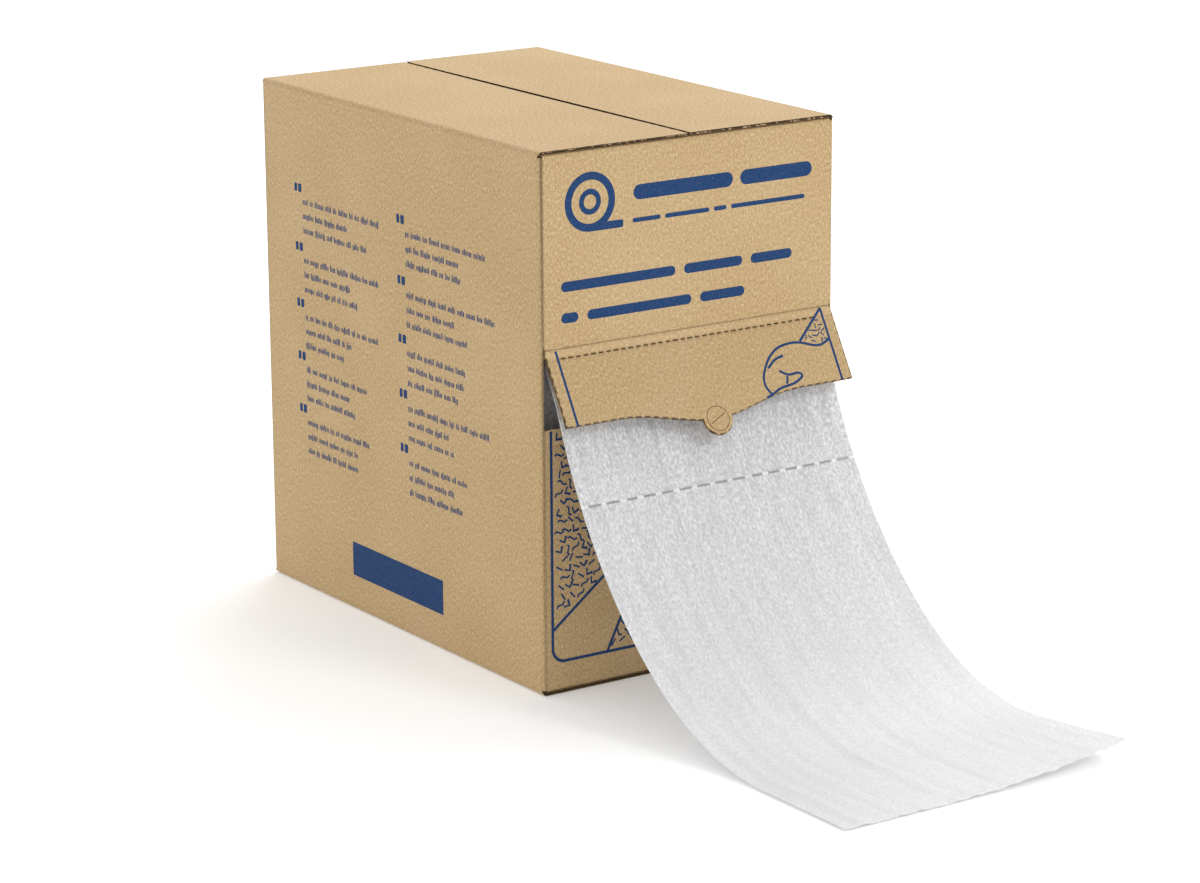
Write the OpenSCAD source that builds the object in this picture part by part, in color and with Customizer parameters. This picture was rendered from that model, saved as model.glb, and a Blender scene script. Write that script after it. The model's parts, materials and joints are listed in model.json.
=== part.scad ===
// Foam wrap roll in its corrugated dispenser carton.
// X runs across the front, -Y is the front, +Z is up. The origin is the middle of the carton's base.

/* [Foam film] */
// Width of the film
film_w = 300; // [250:5:400]
// Thickness of the film
film_t = 1; // [0.8:0.1:2]
// Outside diameter of the roll
roll_d = 430; // [400:5:480]
// Width of the flat spot on which the soft roll lies
flat_spot = 30; // [10:5:40]
// Distance of the last perforation from the film's free end
tear_off = 450; // [300:10:460]
// How far the free end lies from the carton's front
film_reach = 425; // [380:5:600]

/* [Core] */
// Bore of the cardboard core
core_bore = 76; // [50:2:100]
// Wall of the core
core_wall = 5; // [3:0.5:8]

/* [Carton] */
// Room between each end of the roll and the wall beside it
side_room = 7; // [4:0.5:15]
// Room in front of the roll, and behind it
depth_room = 22; // [10:1:50]
// Room between the top of the roll and the lid
head_room = 50; // [40:5:90]
// Thickness of the corrugated board
board_t = 3; // [2:0.5:4]
// Outside radius of a folded corner
fold_r = 4; // [3.5:0.5:6]
// Distance between two flute crests
flute_pitch = 6.4; // [5:0.2:8]
// Thickness of one liner and of the fluted sheet
liner_t = 0.45; // [0.35:0.05:0.6]
// Gap between the two outer flaps on top
lid_seam = 1.5; // [0.5:0.5:5]
// Gap between the two outer flaps underneath
base_seam = 0.5; // [0.2:0.1:0.5]
// Width of the tab that joins the blank into a tube
glue_tab_w = 35; // [20:5:50]

/* [Dispenser opening] */
// Height of the front above the dispenser flap's crease
lintel_h = 176; // [150:2:190]
// Length of the flap at its two sides
flap_len = 71; // [60:1:75]
// Extra length of the flap at its middle
flap_dip = 15; // [8:1:20]
// Length of the straight edge at each side of the dip
flap_shoulder = 51.5; // [30:0.5:70]
// Radius of the round tab in the middle of the edge
tab_r = 15; // [12:1:18]
// Radius of the ring pressed into the tab
ring_r = 12; // [8:0.5:13]
// Distance of the perforated crease below the hinge crease
second_crease = 9; // [7:0.5:12]
// Angle at which the flap stands off the front
flap_open = 30; // [26:1:45]

/* [Hidden] */
$fn = 96;

// The carton's outside sizes, from the roll and the room around it. Two layers of board lie at each end.
carton_w = film_w + 2 * (side_room + board_t);
carton_d = roll_d + 2 * (depth_room + board_t);
carton_h = roll_d + head_room + 4 * board_t;
half_w = carton_w / 2;
half_d = carton_d / 2;
slot_top = carton_h - lintel_h;
inner_fold_r = max(fold_r - board_t, 0.5);
outer_flap_len = half_w;
inner_flap_len = half_w;
flap_side_gap = 1;
crease_gap = 0.15;
cut_gap = 0.5;
// How far joined solids run into each other, and how far cuts run past the surface.
embed = 0.1;
over = 1;
tab_end_gap = 4;

flap_half_w = half_w - board_t - cut_gap;
dip_half_w = flap_half_w - flap_shoulder;
edge_steps = 42;
tab_depth = flap_len + flap_dip;
flute_flat = 0.18;
slit_len = 4.5;
slit_pitch = 8;
slit_w = 0.6;
slit_margin = 17;
ring_groove_w = 1;
ring_groove_depth = 0.3;
finger_slit_len = 17;
finger_slit_w = 1.2;
finger_slit_angle = 25;

roll_r = roll_d / 2;
spot_depth = roll_r - sqrt(pow(roll_r, 2) - pow(flat_spot / 2, 2));
// The roll lies on the outer base flaps, or on the inner ones where they reach under it.
base_gap = max(half_d - inner_flap_len, 0);
on_outer_flaps = board_t + roll_r - spot_depth;
on_inner_flaps = 2 * board_t + sqrt(pow(roll_r, 2) - pow(min(base_gap, roll_r), 2));
roll_z = max(on_outer_flaps, on_inner_flaps);
core_clearance = 0.2;
core_r = core_bore / 2 + core_wall;
turn_step = 12;
turn_groove_w = 1.2;
turn_groove_depth = 1.5;

// Where the film leaves the roll, as an angle above the horizontal, and how deep its root lies in the roll.
leave_angle = 50;
root_depth = 0.8;
// The film's last steep point, just outside the opening, given from the front and from the hinge crease.
steep_out = 17;
steep_drop = 69.5;
steep_angle = 21;
// Where the film meets the floor, from the front.
landing = 315;
// Handle lengths of the two curves.
leave_pull = 100;
steep_pull_in = 70;
steep_pull_out = 98;
landing_pull = 160;
curve_steps = 20;
tear_slit_len = 13;
tear_slit_w = 1;
tear_pitch = 19.5;

// A point on a cubic curve with two end points and two handles.
function cubic(a, b, c, d, t) =
    pow(1 - t, 3) * a + 3 * pow(1 - t, 2) * t * b + 3 * (1 - t) * pow(t, 2) * c + pow(t, 3) * d;
function curve(a, b, c, d) = [for (i = [0:curve_steps]) cubic(a, b, c, d, i / curve_steps)];
// A unit vector that points down and forward, at an angle from the vertical.
function down(angle) = [-sin(angle), -cos(angle)];

// The film's middle line in Y and Z, from the roll to its free end on the floor.
leave_pt = [0, roll_z] + (roll_r - root_depth) * [-cos(leave_angle), sin(leave_angle)];
steep_pt = [-half_d - steep_out, slot_top - steep_drop];
landing_pt = [-half_d - landing, film_t / 2];
end_pt = [-half_d - film_reach, film_t / 2];
film_path = concat(
    curve(leave_pt, leave_pt + leave_pull * down(leave_angle),
        steep_pt - steep_pull_in * down(steep_angle), steep_pt),
    [for (i = [1:curve_steps])
        cubic(steep_pt, steep_pt + steep_pull_out * down(steep_angle),
            landing_pt + [landing_pull, 0], landing_pt, i / curve_steps)],
    [end_pt]);
last = len(film_path) - 1;

// The direction of the path at point i, and the line moved sideways by a distance.
function heading(i) =
    let (v = film_path[min(i + 1, last)] - film_path[max(i - 1, 0)]) v / norm(v);
function beside(i, d) = film_path[i] + d * [heading(i)[1], -heading(i)[0]];
// The film's length from point i to its free end.
function rest_of(i) = i >= last ? 0 : norm(film_path[i + 1] - film_path[i]) + rest_of(i + 1);
// The place on the path at a distance from the free end, as a point and a direction.
function from_end(d, i = 0) =
    rest_of(i + 1) <= d
    ? let (v = film_path[i + 1] - film_path[i])
        [film_path[i + 1] - (d - rest_of(i + 1)) * v / norm(v), v / norm(v)]
    : from_end(d, i + 1);

// The lower edge of the dispenser flap: how far it hangs below the crease at a distance from the middle.
function edge_drop(x) =
    abs(x) >= dip_half_w ? flap_len
    : flap_len + flap_dip * pow((1 + cos(180 * abs(x) / dip_half_w)) / 2, 1.2);

// A bar along X with one rounded edge's waste: what a fold of radius r takes off a square edge.
module edge_waste(length, r) {
    rotate([90, 0, 90])
        linear_extrude(length, center = true)
            difference() {
                translate([-over, -over])
                    square(r + over);
                translate([r, r])
                    circle(r);
            }
}

// A rectangle with true arcs at its corners.
module round_tube(w, d, h, r) {
    translate([-w / 2 + r, -d / 2, 0])
        cube([w - 2 * r, d, h]);
    translate([-w / 2, -d / 2 + r, 0])
        cube([w, d - 2 * r, h]);
    for (x = [-1, 1])
        for (y = [-1, 1])
            translate([x * (w / 2 - r), y * (d / 2 - r), 0])
                cylinder(h, r = r);
}

// The wavy middle sheet of the board as a strip in X and Y, n flutes long, between its two liners.
module flute_strip(n) {
    low = liner_t - embed;
    high = board_t - liner_t + embed;
    q = flute_pitch;
    upper = [for (i = [0:n - 1])
        each [[i * q, low + liner_t], [(i + flute_flat) * q, low + liner_t],
            [(i + 0.5) * q, high], [(i + 0.5 + flute_flat) * q, high]]];
    lower = [for (i = [n - 1:-1:0])
        each [[(i + 0.5 + flute_flat) * q, high - liner_t], [(i + 0.5) * q, high - liner_t],
            [(i + flute_flat) * q, low], [i * q, low]]];
    polygon(concat(upper, [[n * q, low + liner_t], [n * q, low]], lower));
}

// Corrugated board in X (across the flutes), Y (thickness) and Z (along the flutes), centred on X.
// Its two side edges are crushed shut.
module board(across, along) {
    n = floor(across / flute_pitch) - 1;
    side = (across - n * flute_pitch) / 2 + embed;
    translate([-across / 2, 0, 0])
        cube([across, liner_t, along]);
    translate([-across / 2, board_t - liner_t, 0])
        cube([across, liner_t, along]);
    for (x = [-across / 2, across / 2 - side])
        translate([x, 0, 0])
            cube([side, board_t, along]);
    translate([-n * flute_pitch / 2, 0, 0])
        linear_extrude(along)
            flute_strip(n);
}

// A block with the outline of the dispenser flap, hanging from the crease at Z = 0.
module flap_block(half, depth) {
    rotate([90, 0, 0]) {
        linear_extrude(depth, center = true)
            polygon(concat(
                [[half, 0], [half, -flap_len]],
                [for (i = [0:edge_steps])
                    let (x = dip_half_w * (1 - 2 * i / edge_steps)) [x, -edge_drop(x)]],
                [[-half, -flap_len], [-half, 0]]));
        translate([0, -tab_depth, 0])
            cylinder(depth, r = tab_r, center = true);
    }
}

// The opening that the flap leaves in the front.
module dispenser_cut() {
    translate([0, -half_d + board_t / 2, slot_top])
        flap_block(flap_half_w + cut_gap, board_t + 2 * over);
}

// One of the two small flaps that fold in from the front and the back.
module inner_flap(z) {
    translate([-half_w + board_t + flap_side_gap, -half_d, z])
        cube([carton_w - 2 * (board_t + flap_side_gap), inner_flap_len, board_t]);
}

// The four walls with the small flaps folded in from the front and the back, top and bottom.
module walls() {
    difference() {
        union() {
            difference() {
                translate([0, 0, board_t])
                    round_tube(carton_w, carton_d, carton_h - 2 * board_t, fold_r);
                translate([0, 0, board_t - over])
                    round_tube(carton_w - 2 * board_t, carton_d - 2 * board_t, carton_h, inner_fold_r);
            }
            for (y = [0, 1])
                mirror([0, y, 0]) {
                    inner_flap(board_t);
                    inner_flap(carton_h - 2 * board_t);
                }
        }
        dispenser_cut();
        for (y = [0, 1])
            mirror([0, y, 0]) {
                translate([0, -half_d, board_t])
                    edge_waste(carton_w + 2 * over, fold_r);
                translate([0, -half_d, carton_h - board_t])
                    mirror([0, 0, 1])
                        edge_waste(carton_w + 2 * over, fold_r);
            }
    }
}

// The left wall's extra height above the front and the back, up to the outer flap's crease.
module wall_top() {
    translate([-half_w, -half_d + fold_r, carton_h - board_t - over])
        cube([board_t, carton_d - 2 * fold_r, board_t + over]);
}

// The left outer flap of the base.
module base_flap() {
    translate([-half_w, -half_d + flap_side_gap, 0])
        cube([half_w - base_seam / 2, carton_d - 2 * flap_side_gap, board_t]);
}

// What the left top flap's root takes off the left wall: everything above a slope of 45 degrees.
module lid_mitre() {
    reach = board_t + flap_side_gap / 2;
    rotate([90, 0, 0])
        linear_extrude(carton_d + 2 * over, center = true)
            polygon([[-over, over - crease_gap], [reach, -reach - crease_gap], [reach, 2 * over],
                [-over, 2 * over]]);
    rotate([0, 0, -90])
        mirror([0, 0, 1])
            edge_waste(carton_d + 2 * over, fold_r);
}

// The folded blank as one piece of board.
module carton_body() {
    color("burlywood")
    difference() {
        union() {
            walls();
            for (s = [0, 1])
                mirror([s, 0, 0]) {
                    wall_top();
                    base_flap();
                }
            // Glue tab inside the right wall at the back corner.
            translate([half_w - 2 * board_t, half_d - board_t - glue_tab_w, 2 * board_t + tab_end_gap])
                cube([board_t + embed, glue_tab_w + embed, carton_h - 4 * board_t - 2 * tab_end_gap]);
        }
        for (s = [0, 1])
            mirror([s, 0, 0])
                translate([-half_w, 0, 0]) {
                    rotate([0, 0, -90])
                        edge_waste(carton_d + 2 * over, fold_r);
                    translate([0, 0, carton_h])
                        lid_mitre();
                }
    }
}

// One outer top flap, drawn on the left: board with its flutes along X, mitred at its crease.
module top_flap() {
    length = outer_flap_len - lid_seam / 2;
    translate([-half_w, 0, carton_h])
        difference() {
            rotate([0, 90, 0])
                rotate([0, 0, 90])
                    translate([0, -board_t, 0])
                        board(carton_d - 2 * flap_side_gap, length);
            rotate([90, 0, 0])
                linear_extrude(carton_d + 2 * over, center = true)
                    polygon([[-over, over + crease_gap], [-over, -board_t - over],
                        [board_t + over + crease_gap, -board_t - over]]);
            rotate([0, 0, -90])
                mirror([0, 0, 1])
                    edge_waste(carton_d + 2 * over, fold_r);
        }
}

module top_left_flap() {
    color("burlywood")
        top_flap();
}

module top_right_flap() {
    color("burlywood")
        mirror([1, 0, 0])
            top_flap();
}

// The flap cut out of the front, standing open at its crease, with its tab, ring, slit and perforations.
module dispenser_flap() {
    color("burlywood")
    translate([0, -half_d, slot_top])
        rotate([-flap_open, 0, 0])
            difference() {
                intersection() {
                    translate([0, 0, -tab_depth - tab_r - over])
                        board(2 * flap_half_w, tab_depth + tab_r + over);
                    flap_block(flap_half_w, 3 * board_t);
                }
                // Ring pressed into the tab, with a slit across it.
                translate([0, 0, -tab_depth])
                    rotate([90, 0, 0]) {
                        translate([0, 0, -ring_groove_depth])
                            difference() {
                                cylinder(over, r = ring_r);
                                translate([0, 0, -over])
                                    cylinder(3 * over, r = ring_r - ring_groove_w);
                            }
                        rotate([0, 0, finger_slit_angle])
                            cube([finger_slit_len, finger_slit_w, 3 * board_t], center = true);
                    }
                // Perforated crease.
                for (x = [-flap_half_w + slit_margin:slit_pitch:flap_half_w - slit_margin])
                    translate([x - slit_len / 2, -over, -second_crease - slit_w / 2])
                        cube([slit_len, board_t + 2 * over, slit_w]);
            }
}

// The wound turns and the end pulled off them, one film.
module foam_roll() {
    tear = from_end(tear_off);
    tear_count = floor((film_w - tear_slit_len) / tear_pitch);
    color("white")
    difference() {
        union() {
            difference() {
                translate([0, 0, roll_z])
                    rotate([0, 90, 0])
                        cylinder(film_w, r = roll_r, center = true);
                translate([0, 0, roll_z])
                    rotate([0, 90, 0])
                        cylinder(film_w + 2 * over, r = core_r + core_clearance, center = true);
                // The turns show as rings on both ends.
                for (s = [0, 1])
                    mirror([s, 0, 0])
                        translate([film_w / 2, 0, roll_z])
                            rotate([0, 90, 0])
                                turn_rings();
                translate([0, 0, roll_z - roll_r + spot_depth - board_t / 2])
                    cube([film_w + 2 * over, roll_d, board_t], center = true);
            }
            rotate([90, 0, 90])
                linear_extrude(film_w, center = true)
                    polygon(concat(
                        [for (i = [0:last]) beside(i, film_t / 2)],
                        [for (i = [last:-1:0]) beside(i, -film_t / 2)]));
        }
        // Perforation where the next piece tears off.
        for (i = [-tear_count / 2:tear_count / 2])
            translate([i * tear_pitch, tear[0][0], tear[0][1]])
                rotate([atan2(tear[1][1], tear[1][0]), 0, 0])
                    cube([tear_slit_len, tear_slit_w, 4 * film_t], center = true);
    }
}

// Shallow ring grooves between the core and the outer turn.
module turn_rings() {
    for (r = [core_r + turn_step:turn_step:roll_r - turn_step / 2])
        translate([0, 0, -turn_groove_depth])
            difference() {
                cylinder(turn_groove_depth + over, r = r + turn_groove_w / 2);
                translate([0, 0, -over])
                    cylinder(turn_groove_depth + 3 * over, r = r - turn_groove_w / 2);
            }
}

// The tube on which the film is wound.
module roll_core() {
    color("tan")
    translate([0, 0, roll_z])
        rotate([0, 90, 0])
            difference() {
                cylinder(film_w, r = core_r, center = true);
                cylinder(film_w + 2 * over, r = core_bore / 2, center = true);
            }
}

carton_body();
top_left_flap();
top_right_flap();
dispenser_flap();
foam_roll();
roll_core();
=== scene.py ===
# %% [markdown]
# # A roll of foam film in its dispenser carton
# The object is a folding carton of corrugated board with a big roll of soft foam film inside. A flap in the
# front stands open, and the end of the film comes out under it and runs down to the floor.
# The frame from the construction model is loaded first, because every piece below takes its place from it.

# %% Load the frame
import json
import math

import bpy
import numpy as np
from mathutils import Matrix, Vector


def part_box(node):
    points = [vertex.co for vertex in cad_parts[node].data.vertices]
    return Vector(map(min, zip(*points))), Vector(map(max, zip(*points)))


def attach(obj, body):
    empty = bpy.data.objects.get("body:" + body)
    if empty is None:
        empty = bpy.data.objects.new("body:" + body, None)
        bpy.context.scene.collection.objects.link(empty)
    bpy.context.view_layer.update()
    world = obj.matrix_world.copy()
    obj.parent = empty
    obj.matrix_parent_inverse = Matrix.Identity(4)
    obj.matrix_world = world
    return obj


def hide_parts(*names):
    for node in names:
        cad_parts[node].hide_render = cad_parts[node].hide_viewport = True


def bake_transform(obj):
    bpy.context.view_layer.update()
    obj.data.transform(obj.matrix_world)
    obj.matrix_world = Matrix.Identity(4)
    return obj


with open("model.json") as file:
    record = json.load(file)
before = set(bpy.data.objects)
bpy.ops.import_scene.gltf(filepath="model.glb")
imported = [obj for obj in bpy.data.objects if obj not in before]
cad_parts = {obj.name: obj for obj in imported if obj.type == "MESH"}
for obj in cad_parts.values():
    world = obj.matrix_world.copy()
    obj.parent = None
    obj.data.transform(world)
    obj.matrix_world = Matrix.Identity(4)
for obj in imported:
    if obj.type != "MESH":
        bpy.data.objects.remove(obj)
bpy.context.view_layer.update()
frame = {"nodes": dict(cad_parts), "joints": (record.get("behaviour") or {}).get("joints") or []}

MM = 0.001
joint_at = {j["name"]: np.array(j["pos_m"], float) for j in frame["joints"]}
HALF_W, HALF_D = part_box("carton_body")[1][:2]
TOP = joint_at["left_lid_hinge"][2]
CREASE_Z = joint_at["front_flap_hinge"][2]
print(f"carton {2 * HALF_W / MM:.0f} x {2 * HALF_D / MM:.0f} x {TOP / MM:.0f} mm")
print(f"flap crease at {CREASE_Z / MM:.0f} mm")

# %% [markdown]
# ## The camera
# The photograph was taken with a long lens from in front of the left corner, a little above the lid.
# The angles and the lens were found by fitting the carton's corners, its flap and the film's end to their
# places in the photograph, with most weight on the corners that stand nearest. The camera's axes are built
# from an azimuth, an elevation and a small roll, which is easier to read than a matrix of nine numbers.

# %% Camera
PHOTO_W = 1200
FOCAL_PX = 3954.0
SENSOR_W = 36
AZIMUTH, ELEVATION, ROLL = math.radians(-34.27), math.radians(14.79), math.radians(-0.35)
DISTANCE = 3738 * MM
AIM_SIDE, AIM_LIFT, AIM_Z = 54.7 * MM, -84.1 * MM, 246.4 * MM


def photo_camera():
    back = Vector((math.sin(AZIMUTH) * math.cos(ELEVATION), -math.cos(AZIMUTH) * math.cos(ELEVATION),
                   math.sin(ELEVATION)))
    level = Vector((0, 0, 1)).cross(back).normalized()
    rise = back.cross(level)
    right = math.cos(ROLL) * level + math.sin(ROLL) * rise
    up = math.cos(ROLL) * rise - math.sin(ROLL) * level
    place = back * DISTANCE + right * AIM_SIDE + up * AIM_LIFT + Vector((0, 0, AIM_Z))
    camera = bpy.data.objects.new("photo_camera", bpy.data.cameras.new("photo_camera"))
    camera.data.sensor_width = SENSOR_W
    camera.data.lens = SENSOR_W * FOCAL_PX / PHOTO_W
    camera.matrix_world = Matrix.Translation(place) @ Matrix((right, up, back)).transposed().to_4x4()
    bpy.context.scene.collection.objects.link(camera)
    bpy.context.scene.camera = camera
    return camera


camera = photo_camera()
print(f"camera with a {camera.data.lens:.1f} mm lens at {[round(x, 2) for x in camera.location]}")

# %% [markdown]
# ## Helpers for materials
# Every finish below is a tree of nodes. Writing trees by hand is long, so one helper makes a node, sets its
# values and joins its inputs, and a second one mixes two colours. Most colours are a base with tints laid
# over it, each where a pattern rises from one value to another, so `tinted` takes a list of such layers.

# %% Node helpers
def add_node(tree, kind, settings=None, **inputs):
    """A new node. An input is a number, a colour or another node's output."""
    made = tree.nodes.new(kind)
    for name, value in (settings or {}).items():
        setattr(made, name, value)
    for name, value in inputs.items():
        socket = made.inputs[name.replace("_", " ")]
        if isinstance(value, bpy.types.NodeSocket):
            tree.links.new(value, socket)
        else:
            socket.default_value = value
    return made


def maths(tree, operation, a, b=0.0):
    made = tree.nodes.new("ShaderNodeMath")
    made.operation = operation
    for socket, value in zip(made.inputs, (a, b)):
        if isinstance(value, bpy.types.NodeSocket):
            tree.links.new(value, socket)
        else:
            socket.default_value = value
    return made.outputs[0]


def mix_colours(tree, share, first, second):
    """The first colour, and the second where share is 1."""
    made = tree.nodes.new("ShaderNodeMix")
    made.data_type = "RGBA"
    for index, value in ((0, share), (6, first), (7, second)):
        if isinstance(value, bpy.types.NodeSocket):
            tree.links.new(value, made.inputs[index])
        elif index:
            made.inputs[index].default_value = (*value, 1)
        else:
            made.inputs[index].default_value = value
    return made.outputs[2]


def spread(tree, value, low, high, to_low=0.0, to_high=1.0):
    """The value's part between low and high, stretched to new limits."""
    return add_node(tree, "ShaderNodeMapRange", Value=value, From_Min=low, From_Max=high, To_Min=to_low,
                    To_Max=to_high).outputs["Result"]


def tinted(tree, colour, *layers):
    """The colour under layers of tint: pattern, where it starts and is full, largest share, colour."""
    for pattern, start, full, share, tint in layers:
        colour = mix_colours(tree, spread(tree, pattern, start, full, 0.0, share), colour, tint)
    return colour


def stretched(tree, vector, scale, turn=0.0):
    """Texture coordinates scaled along each axis, after a turn about the surface's normal."""
    return add_node(tree, "ShaderNodeMapping", Vector=vector, Scale=scale,
                    Rotation=(0, 0, turn)).outputs["Vector"]


def noise(tree, vector, scale, detail=2.0, roughness=0.5):
    return add_node(tree, "ShaderNodeTexNoise", Vector=vector, Scale=scale, Detail=detail,
                    Roughness=roughness).outputs[0]


def new_finish(name, roughness, specular=0.3):
    finish = bpy.data.materials.new(name)
    finish.use_nodes = True
    shader = finish.node_tree.nodes["Principled BSDF"]
    shader.inputs["Roughness"].default_value = roughness
    shader.inputs["Specular IOR Level"].default_value = specular
    return finish, finish.node_tree, shader


print("node helpers ready")

# %% [markdown]
# ## Kraft board
# Corrugated board is faced with kraft paper: brown, matte, cloudy over some centimetres, mottled over some
# millimetres and a little more so along the flutes than across, and full of fine fibres. The flutes
# underneath print through as very faint stripes. Creases, cuts and the gaps beside them get painted shade,
# and the board between the flap's two creases a painted highlight.
# An image would tile, so noise does it all. The coordinates are those of the flat blank, stored on
# each mesh as `blank`: across the flutes, along the flutes and the depth in the board, all in metres. They
# carry the pattern round every fold, and they stay with the paper when a flap moves.

# %% Kraft board finish
FLUTE_PITCH = 6.4 * MM
KRAFT = (0.536, 0.373, 0.179)
KRAFT_DARK = (0.30, 0.185, 0.082)
KRAFT_PALE = (0.78, 0.62, 0.41)
# Painted shade: the dark of creases, cuts and the gaps beside them.
KRAFT_PAINTED_SHADE = (0.045, 0.024, 0.010)
# The fluting paper's own brown, made darker as painted shade between the liners.
FLUTING = (0.34, 0.215, 0.105)
FIBRE_RELIEF = 0.12 * MM


def kraft_colour(tree, base, blank):
    """The paper's colour without any print, and the height of its fibres."""
    clouds = noise(tree, blank, 9.0, 3.0)
    mottle = noise(tree, stretched(tree, blank, (660, 330, 500)), 1.0, 5.0, 0.68)
    along = noise(tree, stretched(tree, blank, (2600, 260, 1000)), 1.0, 3.0, 0.6)
    across = noise(tree, stretched(tree, blank, (300, 1900, 1000), 0.5), 1.0, 3.0, 0.6)
    fibres = maths(tree, "MULTIPLY", maths(tree, "ADD", along, across), 0.5)
    specks = noise(tree, stretched(tree, blank, (900, 420, 500), -0.3), 1.0, 1.0)
    across_flutes = add_node(tree, "ShaderNodeSeparateXYZ", Vector=blank).outputs[0]
    stripe = maths(tree, "SINE", maths(tree, "MULTIPLY", across_flutes, 2 * math.pi / FLUTE_PITCH))
    colour = tinted(tree, base,
                    (mottle, 0.44, 0.72, 0.85, KRAFT_DARK),
                    (mottle, 0.48, 0.28, 0.80, KRAFT_PALE),
                    (clouds, 0.40, 0.70, 0.12, KRAFT_PALE),
                    (fibres, 0.53, 0.66, 0.62, KRAFT_PALE),
                    (fibres, 0.46, 0.33, 0.66, KRAFT_DARK),
                    (specks, 0.66, 0.76, 0.55, KRAFT_DARK),
                    (stripe, -1.0, 1.0, 0.06, KRAFT_DARK))
    height = maths(tree, "ADD", maths(tree, "MULTIPLY", fibres, 0.6), maths(tree, "MULTIPLY", mottle, 0.5))
    height = maths(tree, "ADD", height, maths(tree, "MULTIPLY", stripe, 0.04))
    return colour, height


def kraft_finish(name, base):
    """Kraft paper. Where the mesh's attribute is over 0 it is darkened as painted shade; under 0 it is paled
    as a painted highlight, and on the lid's cut edges as pale torn fibres.
    """
    finish, tree, shader = new_finish(name, 0.78, 0.34)
    blank = add_node(tree, "ShaderNodeAttribute", {"attribute_name": "blank"}).outputs["Vector"]
    colour, height = kraft_colour(tree, base, blank)
    wear = add_node(tree, "ShaderNodeAttribute", {"attribute_name": "wear"}).outputs["Fac"]
    patchy = spread(tree, noise(tree, blank, 330.0, 4.0), 0.3, 0.6, 0.8, 1.0)
    # Painted shade where the attribute is over 0; a painted highlight, and pale torn fibres, where it is under 0.
    dark = maths(tree, "MULTIPLY", spread(tree, wear, 0.0, 1.0), patchy)
    pale = maths(tree, "MULTIPLY", spread(tree, wear, 0.0, -1.0), patchy)
    colour = mix_colours(tree, dark, colour, KRAFT_PAINTED_SHADE)
    colour = mix_colours(tree, pale, colour, KRAFT_PALE)
    tree.links.new(colour, shader.inputs["Base Color"])
    bump = add_node(tree, "ShaderNodeBump", Height=height, Strength=0.35, Distance=FIBRE_RELIEF)
    tree.links.new(bump.outputs["Normal"], shader.inputs["Normal"])
    return finish


kraft = kraft_finish("kraft_liner", KRAFT)
fluting = kraft_finish("fluting_paper", FLUTING)
print("kraft liner and fluting paper made")

# %% [markdown]
# ## A skin under a folded surface
# Board is three papers glued together: an outer liner, a wavy fluting and an inner liner. Each is a thin
# closed skin. Solidify could thicken a surface, but it can't follow the wave between the liners, so
# one helper builds any skin from a grid: the outer surface's points and normals, the depth of the skin's
# upper and lower side at each point, and which cells are there at all. A hole is cells left out.

# %% Skins
def skin(points, normals, upper, lower, keep=None):
    """Corners and faces of a closed skin between two depths under a grid of columns and rows."""
    columns, rows = points.shape[:2]
    upper, lower = (np.broadcast_to(d, (columns, rows)) for d in (upper, lower))
    keep = np.ones((columns - 1, rows - 1), bool) if keep is None else keep
    corners = np.concatenate([(points - normals * d[..., None]).reshape(-1, 3) for d in (upper, lower)])
    at = np.arange(columns * rows).reshape(columns, rows)
    under = columns * rows
    i, j = np.nonzero(keep)
    a, b, c, d = at[i, j], at[i + 1, j], at[i + 1, j + 1], at[i, j + 1]
    faces = [np.stack([a, b, c, d], 1), np.stack([d, c, b, a], 1) + under]
    around = np.pad(keep, 1)
    for step, (p, q) in {(0, -1): (a, b), (0, 1): (c, d), (-1, 0): (d, a), (1, 0): (b, c)}.items():
        rim = ~around[i + 1 + step[0], j + 1 + step[1]]
        faces.append(np.stack([p + under, q + under, q, p], 1)[rim])
    return corners, np.concatenate(faces)


print("a skin has two sides and a rim round every hole")

# %% [markdown]
# ## Many skins in one mesh
# A flap or a wall is several skins of one piece of board, so they are collected and built as one mesh. Each
# corner carries its place in the flat blank and how much painted shade, painted highlight and pale torn
# fibres it has, as mesh attributes that the finishes read.

# %% Sheetwork
SHARP_FROM = 35


def outward(points, normals):
    """True if the grid's columns and rows turn the same way as the normals."""
    across = points[1:, :-1] - points[:-1, :-1]
    along = points[:-1, 1:] - points[:-1, :-1]
    return (np.cross(across, along) * normals[:-1, :-1]).sum() > 0


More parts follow.
